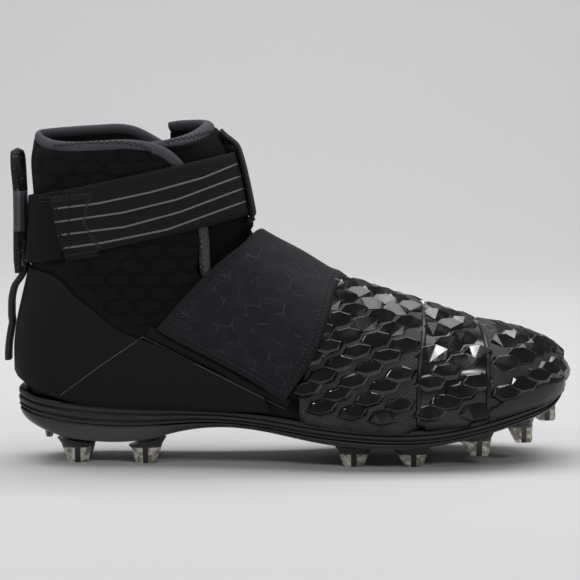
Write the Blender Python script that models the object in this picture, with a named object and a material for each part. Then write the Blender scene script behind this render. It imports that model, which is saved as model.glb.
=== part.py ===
"""American football cleat: a right shoe, empty and unbent, standing on its studs.

Metres. The toe points along +X, the outer side of the foot along -Y, and the ground is z = 0. The pieces are
made with the heel's back near x = 0, then moved so that the middle of the shoe's box is over the origin.
Every piece of the upper comes from one surface, the last, which is lofted through a table of sections.
"""

import math

import bmesh
import bpy
import numpy as np

# Driving dimensions
LENGTH = 0.310
COLLAR_HEIGHT = 0.183
BALL_WIDTH = 0.102

UPPER_WALL = 0.0024
TONGUE_THICKNESS = 0.0032
INSOLE_THICKNESS = 0.0040
COUNTER_THICKNESS = 0.0008
ARMOUR_THICKNESS = 0.0018
ANKLE_STRAP_THICKNESS = 0.0016
STRAP_BASE_THICKNESS = 0.0009
MIDFOOT_STRAP_THICKNESS = 0.0020
FRONT_STRIP_THICKNESS = 0.0014
BINDING_RADIUS = 0.0026
RIM_THICKNESS = 0.0030
CLEARANCE = 0.0003
LAID_CLEARANCE = 0.0006  # between a flat-faceted panel and the curved wall that it lies on

CORD_DIAMETER = 0.0046
CORD_SPREAD = 0.0068
SLEEVE_WALL = 0.0010
SLEEVE_HEIGHT = 0.0225
WEBBING_WIDTH = 0.0100
WEBBING_THICKNESS = 0.0020

# Sections of the last from the toe to the collar. Each lies in the plane through its top and bottom points,
# so they stand upright in the forefoot, fan round the instep and lie nearly flat in the shaft.
# top x, bottom x: shares of LENGTH. top z, bottom z: shares of COLLAR_HEIGHT.
# middle y, outer half, inner half: shares of BALL_WIDTH. widest: where the section is widest, from 0 at
# its bottom to 1 at its top. top, bottom: how square each end is, 2 being an ellipse.
SECTIONS = (
    # top x, top z, bottom x, bottom z, middle, outer, inner, widest, top, bottom
    (0.992, 0.270, 0.989, 0.227, 0.088, 0.088, 0.078, 0.50, 2.00, 2.0),
    (0.988, 0.292, 0.983, 0.208, 0.088, 0.162, 0.142, 0.48, 2.00, 2.1),
    (0.981, 0.311, 0.973, 0.190, 0.086, 0.225, 0.201, 0.45, 2.10, 2.4),
    (0.968, 0.331, 0.958, 0.180, 0.083, 0.289, 0.255, 0.42, 2.20, 2.8),
    (0.942, 0.354, 0.929, 0.161, 0.076, 0.353, 0.324, 0.38, 2.30, 3.6),
    (0.900, 0.375, 0.884, 0.142, 0.069, 0.415, 0.379, 0.36, 2.35, 4.6),
    (0.845, 0.395, 0.826, 0.123, 0.059, 0.465, 0.417, 0.35, 2.35, 5.4),
    (0.774, 0.433, 0.748, 0.103, 0.049, 0.510, 0.440, 0.34, 2.30, 5.8),
    (0.689, 0.482, 0.655, 0.101, 0.039, 0.520, 0.395, 0.33, 2.20, 5.8),
    (0.590, 0.533, 0.548, 0.115, 0.029, 0.475, 0.310, 0.32, 2.10, 5.6),
    (0.510, 0.617, 0.448, 0.137, 0.020, 0.400, 0.275, 0.30, 2.00, 5.2),
    (0.447, 0.697, 0.335, 0.153, 0.010, 0.365, 0.290, 0.29, 1.92, 4.8),
    (0.441, 0.706, 0.223, 0.162, 0.005, 0.350, 0.320, 0.30, 1.88, 4.4),
    (0.439, 0.714, 0.110, 0.167, 0.000, 0.340, 0.340, 0.33, 1.88, 3.6),
    (0.436, 0.721, 0.032, 0.196, 0.000, 0.345, 0.345, 0.38, 1.92, 2.7),
    (0.434, 0.728, 0.008, 0.292, 0.000, 0.355, 0.355, 0.43, 1.96, 2.3),
    (0.432, 0.736, 0.009, 0.396, 0.000, 0.365, 0.365, 0.46, 2.00, 2.1),
    (0.430, 0.742, 0.023, 0.500, 0.000, 0.374, 0.374, 0.48, 2.05, 2.1),
    (0.428, 0.749, 0.036, 0.598, 0.000, 0.382, 0.382, 0.49, 2.10, 2.1),
    (0.421, 0.810, 0.039, 0.667, 0.000, 0.386, 0.386, 0.50, 2.10, 2.1),
    (0.413, 0.873, 0.040, 0.735, 0.000, 0.388, 0.388, 0.50, 2.10, 2.1),
    (0.403, 0.936, 0.042, 0.803, 0.000, 0.388, 0.388, 0.50, 2.10, 2.1),
    (0.389, 0.973, 0.045, 0.902, 0.000, 0.388, 0.388, 0.50, 2.10, 2.1),
    (0.374, 1.000, 0.056, 0.968, 0.000, 0.385, 0.385, 0.50, 2.10, 2.1),
)
TOE, COLLAR = 0.0, float(len(SECTIONS) - 1)
# The collar's outer side lies lower than its inner side: by how much, as a share of COLLAR_HEIGHT, the
# section that the dip starts from, and the collar's half width as a share of BALL_WIDTH.
OUTER_DIP, DIP_FROM, COLLAR_HALF = 0.044, 21.0, 0.36
ARMOUR_END = 9.4  # the section where the moulded scales end, under the midfoot strap
THROAT_END = 11.0  # the section where the throat's opening ends, under the midfoot strap
STRAP_LOW, STRAP_HIGH = 18.0, 21.0  # the sections that the ankle strap's two edges lie on
STRAP_ROWS, STRAP_COLUMNS = 4, 32  # the strap's facets across its width and round the ankle
MARGIN_SHARE = 0.66  # the lasting margin leaves this much of the underside's half width open
MARGIN_FROM, MARGIN_TO = 3.0, 13.0
# The upper's facets across half the throat, from it down to the rim, and on to the lasting margin's end.
FRONT_COLUMNS, SIDE_COLUMNS, TUCKED_COLUMNS = 3, 8, 3
UPPER_STATIONS = (0, 0.8, 1.8, 3, 4, 5, 6, 7, 8, 8.7, 9.4, 10.2, 11, 11.67, 12.33, 13,
                  14, 15, 16.5, 18, 19, 20, 21, 22, 22.5, 23)

# The throat's edge: how far round from the front line, 1 being the heel's back or the sole's middle.
THROAT = (
    # section, share round on the outer side, on the inner side
    (11.0, 0.12, 0.12),
    (11.5, 0.22, 0.22),
    (12.1, 0.29, 0.29),
    (12.8, 0.29, 0.29),
    (14.9, 0.25, 0.25),
    (17.8, 0.28, 0.28),
    (19.8, 0.31, 0.31),
    (21.0, 0.345, 0.355),
    (22.0, 0.39, 0.44),
    (22.7, 0.44, 0.50),
    (23.0, 0.48, 0.53),
)
TONGUE_STRAIGHT = (11.2, 12.6)  # the sections between which the middle of the tongue runs straight
# The inner half of the tongue is narrower than the throat from this section up, to this share at the collar.
TONGUE_NARROWS, TONGUE_TOP_SHARE = 20.6, 0.27

# The sole's side. x: share of LENGTH. The rest: heights as shares of SOLE_HEIGHT.
SOLE_HEIGHT = 0.2732 * COLLAR_HEIGHT
SOLE_SIDE = (
    # x, bottom, seam between outsole and midsole, top of the rim
    (0.000, 0.660, 0.750, 0.925),
    (0.010, 0.540, 0.660, 0.865),
    (0.026, 0.455, 0.600, 0.810),
    (0.049, 0.385, 0.560, 0.755),
    (0.082, 0.305, 0.522, 0.725),
    (0.125, 0.248, 0.482, 0.700),
    (0.170, 0.230, 0.458, 0.680),
    (0.223, 0.232, 0.452, 0.662),
    (0.262, 0.275, 0.462, 0.655),
    (0.302, 0.368, 0.492, 0.650),
    (0.341, 0.418, 0.508, 0.645),
    (0.387, 0.434, 0.508, 0.628),
    (0.433, 0.416, 0.484, 0.605),
    (0.492, 0.346, 0.424, 0.560),
    (0.551, 0.266, 0.360, 0.500),
    (0.616, 0.222, 0.324, 0.456),
    (0.689, 0.212, 0.300, 0.440),
    (0.748, 0.234, 0.308, 0.448),
    (0.803, 0.296, 0.366, 0.502),
    (0.859, 0.380, 0.440, 0.590),
    (0.911, 0.466, 0.532, 0.672),
    (0.954, 0.545, 0.604, 0.742),
    (0.980, 0.630, 0.676, 0.800),
    (0.993, 0.720, 0.765, 0.865),
    (1.000, 0.785, 0.825, 0.925),
)
MIDSOLE_RIBS = (
    # share of the way from the rim down to the seam, how far the side stands back
    (0.00, 0.0008),
    (0.10, 0.0000),
    (0.34, 0.0000),
    (0.42, 0.0011),
    (0.50, 0.0000),
    (0.72, 0.0001),
    (0.80, 0.0012),
    (0.88, 0.0002),
    (1.00, 0.0004),
)
OUTSOLE_STEPS = (
    # share of the way from the seam down to the bottom, how far the side stands back
    (0.00, 0.0010),
    (0.14, 0.0006),
    (0.50, 0.0014),
    (0.80, 0.0030),
    (1.00, 0.0060),
)
SOLE_STATIONS = 26

# Studs. x: share of LENGTH. y: share of the sole's half width there, negative on the outer side.
# The lengths run along the foot, the widths across it, and a foot's shift leans it along X.
STUD_SIZES = {
    # kind: (length at the plate, width at the plate, length at the foot, width at the foot)
    "main": (0.0215, 0.0150, 0.0112, 0.0072),
    "toe": (0.0170, 0.0135, 0.0098, 0.0068),
    "bump": (0.0120, 0.0120, 0.0080, 0.0080),
    "wedge": (0.0060, 0.0100, 0.0036, 0.0060),
}
STUDS = (
    # name, kind, x, y, height of the foot above the ground as a share of SOLE_HEIGHT, the foot's shift
    ("stud_heel_rear_outer", "main", 0.119, -0.62, 0.0, 0.0010),
    ("stud_heel_rear_inner", "main", 0.119, 0.62, 0.0, 0.0010),
    ("stud_heel_front_outer", "main", 0.247, -0.66, 0.0, -0.0010),
    ("stud_heel_front_inner", "main", 0.247, 0.62, 0.0, -0.0010),
    ("stud_arch_outer", "main", 0.613, -0.70, 0.0, 0.0000),
    ("stud_arch_inner", "main", 0.622, 0.66, 0.0, 0.0000),
    ("stud_ball_outer", "main", 0.716, -0.72, 0.0, 0.0008),
    ("stud_ball_inner", "main", 0.732, 0.74, 0.0, 0.0008),
    ("stud_tread_outer", "main", 0.829, -0.72, 0.104, 0.0020),
    ("stud_tread_inner", "main", 0.842, 0.72, 0.116, 0.0020),
    ("stud_toe_outer", "toe", 0.910, -0.62, 0.215, 0.0026),
    ("stud_toe_inner", "toe", 0.918, 0.62, 0.230, 0.0026),
    ("stud_toe_middle", "toe", 0.958, 0.00, 0.400, 0.0030),
    ("stud_rear_wedge", "wedge", 0.066, 0.00, 0.240, 0.0000),
    ("stud_bump_ball", "bump", 0.664, 0.00, 0.110, 0.0000),
    ("stud_bump_tread", "bump", 0.872, 0.00, 0.300, 0.0010),
)

# The straps' and panels' outlines, one row per line across them. Places are seen from the side:
# x share of LENGTH, z share of COLLAR_HEIGHT. The side is outer, inner, top (on the ridge) or back.
MIDFOOT_STRAP = (
    # side, rear edge x, z, front edge x, z
    ("outer", 0.268, 0.418, 0.500, 0.212),
    ("outer", 0.318, 0.505, 0.540, 0.330),
    ("outer", 0.372, 0.600, 0.564, 0.440),
    ("outer", 0.418, 0.655, 0.578, 0.500),
    ("top", 0.455, 0.690, 0.590, 0.530),
    ("inner", 0.424, 0.640, 0.586, 0.490),
    ("inner", 0.392, 0.560, 0.576, 0.400),
    ("inner", 0.372, 0.420, 0.560, 0.300),
    ("inner", 0.362, 0.240, 0.548, 0.200),
)
HEEL_COUNTER = (
    # side, lower edge x, z, upper edge x, z
    ("outer", 0.470, 0.180, 0.452, 0.215),
    ("outer", 0.390, 0.188, 0.345, 0.305),
    ("outer", 0.300, 0.194, 0.240, 0.382),
    ("outer", 0.210, 0.198, 0.172, 0.445),
    ("outer", 0.120, 0.212, 0.124, 0.520),
    ("outer", 0.055, 0.240, 0.085, 0.580),
    ("back", 0.010, 0.290, 0.037, 0.590),
    ("inner", 0.055, 0.240, 0.085, 0.580),
    ("inner", 0.120, 0.212, 0.124, 0.520),
    ("inner", 0.210, 0.198, 0.172, 0.445),
    ("inner", 0.290, 0.194, 0.250, 0.382),
    ("inner", 0.345, 0.192, 0.325, 0.330),
)

# The pulls at the heel, seen from the side. Heights are shares of COLLAR_HEIGHT.
HEEL_LOOP = (
    # height, how far it stands off the heel
    (0.585, 0.0000),
    (0.557, 0.0005),
    (0.536, 0.0035),
    (0.511, 0.0036),
    (0.486, 0.0034),
    (0.464, 0.0022),
    (0.443, 0.0015),
    (0.421, 0.0000),
)
HEEL_TAB = (
    # height, how far it stands off the heel
    (0.418, 0.0000),
    (0.391, 0.0002),
    (0.361, 0.0005),
    (0.333, 0.0008),
    (0.306, 0.0010),
)
CORD_END = 0.571
CORD_END_SPREAD = 1.15  # share of CORD_SPREAD
CORD_ROUTE = (
    # height, half the spread as a share of CORD_SPREAD, how far behind the sleeve's middle
    (0.607, 1.00, -0.0002),
    (0.650, 0.66, 0.0000),
    (0.691, 0.52, 0.0000),
    (0.820, 0.52, 0.0000),
    (0.852, 0.60, 0.0004),
    (0.888, 0.84, 0.0008),
    (0.918, 0.70, 0.0012),
    (0.9355, 0.00, 0.0014),
)
SLEEVE_MIDDLE = 0.757
SLEEVE_SPREAD = 0.52  # the cord's half spread inside the sleeve, as a share of CORD_SPREAD


def clear_scene():
    for obj in list(bpy.data.objects):
        bpy.data.objects.remove(obj, do_unlink=True)


def curve_through(table, places):
    """Values of a table's other columns at places along its first, on a smooth curve through its rows."""
    table = np.asarray(table, float)
    knots, values = table[:, 0], table[:, 1:]
    places = np.clip(np.atleast_1d(places), knots[0], knots[-1])
    slopes = np.gradient(values, knots, axis=0)
    span = np.clip(np.searchsorted(knots, places, side="right") - 1, 0, len(knots) - 2)
    width = knots[span + 1] - knots[span]
    u = ((places - knots[span]) / width)[:, None]
    width = width[:, None]
    return (
        (2 * u**3 - 3 * u**2 + 1) * values[span]
        + (u**3 - 2 * u**2 + u) * width * slopes[span]
        + (3 * u**2 - 2 * u**3) * values[span + 1]
        + (u**3 - u**2) * width * slopes[span + 1]
    )


def section_ring(row, samples=96, count=65):
    """Points round one section, from its bottom up the inner side, over the top and down the outer side."""
    top_x, top_z, low_x, low_z, middle, outer, inner, widest, top_square, low_square = row
    top = np.array([top_x * LENGTH, middle * BALL_WIDTH, top_z * COLLAR_HEIGHT])
    low = np.array([low_x * LENGTH, middle * BALL_WIDTH, low_z * COLLAR_HEIGHT])
    centre = low + (top - low) * widest
    halves = []
    for side, half in ((-1, outer * BALL_WIDTH), (1, inner * BALL_WIDTH)):
        angle = np.linspace(0, math.pi, samples)
        rise, reach = np.cos(angle), np.sin(angle)
        power = np.where(rise > 0, 2 / top_square, 2 / low_square)
        rise = np.sign(rise) * np.abs(rise) ** power
        reach = np.abs(reach) ** power
        end = np.where(rise[:, None] > 0, top - centre, centre - low)
        points = centre + rise[:, None] * end
        points[:, 1] += side * reach * half
        steps = np.linalg.norm(np.diff(points, axis=0), axis=1)
        along = np.concatenate([[0], np.cumsum(steps)])
        even = np.linspace(0, along[-1], count)
        halves.append(np.stack([np.interp(even, along, points[:, k]) for k in range(3)], axis=1))
    outer_half, inner_half = halves
    return np.concatenate([inner_half[:0:-1], outer_half])


class Last:
    """The upper's outer surface. A place on it is a section and a share round it, from 0 on the front line
    to 1 at the sole's middle or the heel's back, positive on the outer side and negative on the inner."""

    def __init__(self, fine=8):
        rows = np.column_stack([np.arange(len(SECTIONS)), np.asarray(SECTIONS)])
        self.stations = np.linspace(TOE, COLLAR, fine * (len(SECTIONS) - 1) + 1)
        rings = [section_ring(row) for row in curve_through(rows, self.stations)]
        self.grid = np.array(rings)
        reach = np.clip(-self.grid[:, :, 1] / (COLLAR_HALF * BALL_WIDTH), 0, 1)
        rise = np.clip((self.stations - DIP_FROM) / (COLLAR - DIP_FROM), 0, 1)[:, None]
        self.grid[:, :, 2] -= OUTER_DIP * COLLAR_HEIGHT * rise * (3 - 2 * reach) * reach**2
        self.shares = np.linspace(-1, 1, self.grid.shape[1])
        along = np.gradient(self.grid, axis=0)
        wrapped = np.concatenate([self.grid[:, -2:-1], self.grid, self.grid[:, 1:2]], axis=1)
        around = (wrapped[:, 2:] - wrapped[:, :-2]) / 2
        normal = np.cross(along, around)
        self.normals = normal / np.linalg.norm(normal, axis=2, keepdims=True)

    def _at(self, field, section, share):
        share = (share + 1) % 2 - 1
        i = np.interp(section, self.stations, np.arange(len(self.stations)))
        j = np.interp(share, self.shares, np.arange(len(self.shares)))
        i0 = min(int(i), field.shape[0] - 2)
        j0 = min(int(j), field.shape[1] - 2)
        u, v = i - i0, j - j0
        low = field[i0, j0] * (1 - v) + field[i0, j0 + 1] * v
        high = field[i0 + 1, j0] * (1 - v) + field[i0 + 1, j0 + 1] * v
        return low * (1 - u) + high * u

    def point(self, section, share, offset=0.0):
        normal = self._at(self.normals, section, share)
        return self._at(self.grid, section, share) + normal / np.linalg.norm(normal) * offset

    def normal(self, section, share):
        normal = self._at(self.normals, section, share)
        return normal / np.linalg.norm(normal)

    def place(self, side, x, z):
        """The section and share of the point that is seen at x, z from the side."""
        middle = len(self.shares) // 2
        columns = {
            "outer": np.arange(middle + 2, len(self.shares) - 1),
            "inner": np.arange(1, middle - 1),
            "top": np.array([middle]),
            "back": np.array([len(self.shares) - 1]),
        }[side]
        seen = self.grid[:, columns][:, :, [0, 2]]
        target = np.array([x * LENGTH, z * COLLAR_HEIGHT])
        miss = np.linalg.norm(seen - target, axis=2)
        i, j = np.unravel_index(miss.argmin(), miss.shape)
        return self.stations[i], self.shares[columns[j]]


def throat_share(section, sign=1):
    return float(curve_through(THROAT, section)[0, 0 if sign > 0 else 1])


def smooth_step(value, low, high):
    u = min(max((value - low) / (high - low), 0.0), 1.0)
    return u * u * (3 - 2 * u)


def material(name, colour, roughness, metallic=0.0):
    made = bpy.data.materials.new(name)
    made.use_nodes = True
    shader = made.node_tree.nodes["Principled BSDF"]
    shader.inputs["Base Color"].default_value = (*colour, 1)
    shader.inputs["Roughness"].default_value = roughness
    shader.inputs["Metallic"].default_value = metallic
    made.diffuse_color = (*colour, 1)
    return made


def add_object(name, mesh, finish, smooth=True):
    obj = bpy.data.objects.new(name, mesh)
    bpy.context.scene.collection.objects.link(obj)
    mesh.materials.append(finish)
    mesh.polygons.foreach_set("use_smooth", [smooth] * len(mesh.polygons))
    return obj


def grid_object(name, points, finish, closed_around=False, keep=None, cap_start=False):
    """An open sheet through rows of points. keep(i, j) says which of its cells stay."""
    bm = bmesh.new()
    rows, columns = len(points), len(points[0])
    verts = [[bm.verts.new(p) for p in row] for row in points]
    for i in range(rows - 1):
        for j in range(columns if closed_around else columns - 1):
            if keep and not keep(i, j):
                continue
            k = (j + 1) % columns
            bm.faces.new((verts[i][j], verts[i][k], verts[i + 1][k], verts[i + 1][j]))
    if cap_start:
        bm.faces.new(verts[0][::-1])
    loose = [v for v in bm.verts if not v.link_faces]
    bmesh.ops.delete(bm, geom=loose, context="VERTS")
    mesh = bpy.data.meshes.new(name)
    bm.to_mesh(mesh)
    bm.free()
    return add_object(name, mesh, finish)


def thicken(obj, thickness, side):
    """Gives a sheet its wall, growing to the side that side points to along its normals."""
    wall = obj.modifiers.new("wall", "SOLIDIFY")
    wall.thickness = thickness
    wall.offset = side
    wall.use_even_offset = True
    wall.use_rim = True
    return obj


def cut(obj, cutter):
    cutter.hide_render = True
    cutter.display_type = "WIRE"
    boolean = obj.modifiers.new("cut", "BOOLEAN")
    boolean.operation = "DIFFERENCE"
    boolean.solver = "EXACT"
    boolean.object = cutter


def ribbon(name, last, table, along, across, offset, thickness, finish, behind=False):
    """A panel laid on the last between the two edges that the table's rows give."""
    rows = []
    for index, (side, x_a, z_a, x_b, z_b) in enumerate(table):
        ends = []
        for x, z in ((x_a, z_a), (x_b, z_b)):
            section, share = last.place(side, x, z)
            if behind and side == "inner":
                share += 2
            ends += [section, share]
        rows.append([index, *ends])
    points = []
    for section_a, share_a, section_b, share_b in curve_through(rows, np.linspace(0, len(rows) - 1, along)):
        line = []
        for u in np.linspace(0, 1, across):
            section = section_a + (section_b - section_a) * u
            share = share_a + (share_b - share_a) * u
            line.append(last.point(section, share, offset(section)))
        points.append(line)
    obj = grid_object(name, points, finish)
    return thicken(face_out(obj, last), thickness, 1)


def face_out(obj, last):
    """Turns a sheet so that its faces point away from the inside of the shoe."""
    bm = bmesh.new()
    bm.from_mesh(obj.data)
    cloud = last.grid.reshape(-1, 3)
    normals = last.normals.reshape(-1, 3)
    agree = 0.0
    for face in bm.faces:
        nearest = np.linalg.norm(cloud - np.array(face.calc_center_median()), axis=1).argmin()
        agree += float(np.dot(normals[nearest], face.normal)) * face.calc_area()
    if agree < 0:
        bmesh.ops.reverse_faces(bm, faces=bm.faces)
    bm.to_mesh(obj.data)
    bm.free()
    return obj


def tube(name, centres, sides, outs, half_widths, half_depths, finish, closed=False, around=8):
    """A solid swept through centres, an ellipse in the plane of the two directions at each."""
    angles = np.linspace(0, 2 * math.pi, around, endpoint=False)
    rows = []
    for centre, side, out, half_width, half_depth in zip(centres, sides, outs, half_widths, half_depths):
        rows.append([centre + side * half_width * math.cos(a) + out * half_depth * math.sin(a) for a in angles])
    bm = bmesh.new()
    verts = [[bm.verts.new(p) for p in row] for row in rows]
    last_row = len(rows) if closed else len(rows) - 1
    for i in range(last_row):
        for j in range(around):
            k, n = (j + 1) % around, (i + 1) % len(rows)
            bm.faces.new((verts[i][j], verts[i][k], verts[n][k], verts[n][j]))
    if not closed:
        bm.faces.new(verts[0][::-1])
        bm.faces.new(verts[-1])
    bmesh.ops.recalc_face_normals(bm, faces=bm.faces)
    mesh = bpy.data.meshes.new(name)
    bm.to_mesh(mesh)
    bm.free()
    return add_object(name, mesh, finish)


def margin_share(last, section):
    """Where the lasting margin ends under the foot, as a share round the section."""
    section = min(section, MARGIN_TO)
    shares = np.linspace(0.5, 1.0, 200)
    points = np.array([last.point(section, share) for share in shares])
    reach = np.abs(points[:, 1] - points[-1, 1])
    inside = np.nonzero(reach <= MARGIN_SHARE * reach.max())[0]
    return float(shares[inside[0]])


def rim_share(last, section, sign):
    """Where what lies on the upper ends, just above the sole's rim, as a share round the section."""
    limit = margin_share(last, section) - 0.03
    shares = np.linspace(0.3, limit, 150)
    offset = LAID_CLEARANCE + ARMOUR_THICKNESS
    line = np.array([last.point(section, sign * share, offset) for share in shares])
    rim = curve_through(SOLE_SIDE, line[:, 0] / LENGTH)[:, 2] * SOLE_HEIGHT + 0.0010
    return float(shares[np.nonzero(line[:, 2] > rim)[0][-1]])


def upper_columns(last, section):
    """Shares round a section, with a column on each edge of the throat, on the rim and on the margin's end."""
    halves = []
    for sign in (1, -1):
        throat = throat_share(section, sign)
        rim = rim_share(last, section, sign)
        margin = margin_share(last, section)
        front = np.linspace(0, throat, FRONT_COLUMNS + 1)[:-1]
        side = np.linspace(throat, rim, SIDE_COLUMNS + 1)[:-1]
        tucked = np.linspace(rim, margin, TUCKED_COLUMNS + 1)[:-1]
        under = np.linspace(margin, 1, 3)
        halves.append(np.concatenate([front, side, tucked, under]))
    outer, inner = halves
    return np.concatenate([outer, -inner[-2:0:-1]])


def make_upper(last, finish):
    stations = UPPER_STATIONS
    points = [[last.point(s, share) for share in upper_columns(last, s)] for s in stations]
    columns = len(points[0])
    half = columns // 2

    def keep(i, j):
        column = j if j < half else columns - 1 - j
        section = (stations[i] + stations[i + 1]) / 2
        in_throat = column < FRONT_COLUMNS and section > THROAT_END
        tucked = FRONT_COLUMNS + SIDE_COLUMNS + TUCKED_COLUMNS
        under = column >= tucked and MARGIN_FROM < section < MARGIN_TO
        return not in_throat and not under

    upper = grid_object("upper", points, finish, closed_around=True, keep=keep, cap_start=True)
    return thicken(face_out(upper, last), UPPER_WALL, -1)


def last_block(name, last, offset, finish):
    """The whole last as a closed solid, grown by offset, to cut its own space out of the sole."""
    points = [[last.point(s, share, offset) for share in upper_columns(last, s)] for s in UPPER_STATIONS]
    block = grid_object(name, points, finish, closed_around=True, cap_start=True)
    bm = bmesh.new()
    bm.from_mesh(block.data)
    rim = [edge for edge in bm.edges if edge.is_boundary]
    bmesh.ops.contextual_create(bm, geom=rim)
    bmesh.ops.recalc_face_normals(bm, faces=bm.faces)
    bm.to_mesh(block.data)
    bm.free()
    return block


def sole_heights(x):
    """Heights of the sole's bottom, seam and rim at x."""
    return curve_through(SOLE_SIDE, x / LENGTH)[0] * SOLE_HEIGHT


def sole_outline(last):
    """The sole's plan: for stations from heel to toe, x and the y of its two edges. It stands RIM_THICKNESS
    outside the line where the rim's top meets the upper."""
    edges = {}
    for name, sign in (("outer", -1), ("inner", 1)):
        line = []
        for section in np.linspace(TOE, 16, 161):
            shares = np.linspace(0.3, 1.0, 120)
            points = np.array([last.point(section, -sign * share) for share in shares])
            rim = curve_through(SOLE_SIDE, points[:, 0] / LENGTH)[:, 2] * SOLE_HEIGHT
            below = np.nonzero(points[:, 2] <= rim)[0]
            if len(below):
                line.append(points[below[0], :2])
        line = np.array(line)
        tangent = np.gradient(line, axis=0)
        away = np.stack([tangent[:, 1], -tangent[:, 0]], axis=1)
        away /= np.linalg.norm(away, axis=1, keepdims=True)
        middle = line.mean(axis=0) * [1, 0]
        away *= np.sign((away * (line - middle)).sum(axis=1).mean())
        line = line + away * RIM_THICKNESS
        edges[name] = line[np.argsort(line[:, 0])]
    low = max(line[0, 0] for line in edges.values())
    high = min(line[-1, 0] for line in edges.values())
    turn = np.linspace(0, math.pi, SOLE_STATIONS)
    x = low + (high - low) * (1 - np.cos(turn)) / 2
    outer = np.interp(x, edges["outer"][:, 0], edges["outer"][:, 1])
    inner = np.interp(x, edges["inner"][:, 0], edges["inner"][:, 1])
    return np.stack([x, outer, inner], axis=1)


def set_back(outline, distance):
    """The plan outline moved inwards by distance."""
    x, outer, inner = outline.T
    middle = (outer + inner) / 2
    centre_x = (x[0] + x[-1]) / 2
    x_new = centre_x + (x - centre_x) * (1 - 2 * distance / (x[-1] - x[0]))
    half = np.maximum((inner - outer) / 2 - distance, 0.0015)
    return np.stack([x_new, middle - half, middle + half], axis=1)


def sole_layer(name, outline, levels, finish):
    """A layer of the sole. levels: rows of (the set-back outline, its heights), from the top down."""
    bm = bmesh.new()
    rings = []
    for plan, heights in levels:
        outer = [bm.verts.new((x, y, z)) for (x, y, _), z in zip(plan, heights)]
        inner = [bm.verts.new((x, y, z)) for (x, _, y), z in zip(plan, heights)]
        rings.append((outer, inner))
    for (outer_a, inner_a), (outer_b, inner_b) in zip(rings, rings[1:]):
        for k in range(len(outer_a) - 1):
            bm.faces.new((outer_a[k], outer_b[k], outer_b[k + 1], outer_a[k + 1]))
            bm.faces.new((inner_a[k], inner_a[k + 1], inner_b[k + 1], inner_b[k]))
        bm.faces.new((outer_a[0], inner_a[0], inner_b[0], outer_b[0]))
        bm.faces.new((outer_a[-1], outer_b[-1], inner_b[-1], inner_a[-1]))
    for outer, inner in (rings[0], rings[-1]):
        for k in range(len(outer) - 1):
            bm.faces.new((outer[k], outer[k + 1], inner[k + 1], inner[k]))
    bmesh.ops.recalc_face_normals(bm, faces=bm.faces)
    mesh = bpy.data.meshes.new(name)
    bm.to_mesh(mesh)
    bm.free()
    return add_object(name, mesh, finish)


def layer_levels(outline, steps, upper_line, lower_line, drop=0.0):
    """The levels of a layer between two of the sole's three height lines, 0 bottom, 1 seam and 2 rim."""
    levels = []
    for share, back in steps:
        plan = set_back(outline, back)
        heights = []
        for x in plan[:, 0]:
            lines = sole_heights(x)
            high = lines[upper_line] - drop
            heights.append(high + (lines[lower_line] - high) * share)
        levels.append((plan, heights))
    return levels


def make_stud(name, kind, x, y, foot, shift, outline, finish):
    """A tapered stud whose top follows the plate and whose foot is a flat face."""
    length, width, foot_length, foot_width = STUD_SIZES[kind]
    x *= LENGTH
    foot *= SOLE_HEIGHT
    outer, inner = (float(np.interp(x, outline[:, 0], outline[:, k])) for k in (1, 2))
    centre_y = (outer + inner) / 2 + y * (inner - outer) / 2
    around = 10
    reach = np.linspace(x - length / 2, x + length / 2, 7)
    plate = np.array([sole_heights(px)[0] for px in reach])
    slope = (plate[-1] - plate[0]) / length
    seat = (plate - slope * (reach - x)).min() - CLEARANCE
    levels = (
        # share of the way down, how much of the taper is done
        (0.0, 0.0),
        (0.22, 0.42),
        (0.86, 0.90),
        (1.0, 1.0),
    )
    bm = bmesh.new()
    rings = []
    for down, taper in levels:
        half_x = (length + (foot_length - length) * taper) / 2
        half_y = (width + (foot_width - width) * taper) / 2
        if down == 1.0:
            half_x, half_y = half_x * 0.88, half_y * 0.82
        ring = []
        for k in range(around):
            a = 2 * math.pi * (k + 0.5) / around
            c, s = math.cos(a), math.sin(a)
            px = x + shift * down + half_x * math.copysign(abs(c) ** 0.75, c)
            py = centre_y + half_y * math.copysign(abs(s) ** 0.75, s)
            top = seat + slope * (px - x)
            ring.append(bm.verts.new((px, py, top + (foot - top) * down)))
        rings.append(ring)
    for a, b in zip(rings, rings[1:]):
        for k in range(around):
            n = (k + 1) % around
            bm.faces.new((a[k], a[n], b[n], b[k]))
    bm.faces.new(rings[0][::-1])
    bm.faces.new(rings[-1])
    bmesh.ops.recalc_face_normals(bm, faces=bm.faces)
    mesh = bpy.data.meshes.new(name)
    bm.to_mesh(mesh)
    bm.free()
    return add_object(name, mesh, finish, smooth=False)


def edge_line(last):
    """The flaps' free edge, up the outer front edge, round the collar and down the inner front edge."""
    places = []
    front = np.concatenate([[12.6, 13.2, 14.9, 17.8, 19.8, 21.0], [21.8, 22.4, 22.8]])
    for section in front:
        places.append((section, throat_share(section)))
    for share in np.linspace(throat_share(COLLAR) + 0.03, 1.97 - throat_share(COLLAR, -1), 18):
        places.append((COLLAR, share))
    for section in front[::-1]:
        places.append((section, -throat_share(section, -1)))
    return places


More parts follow.
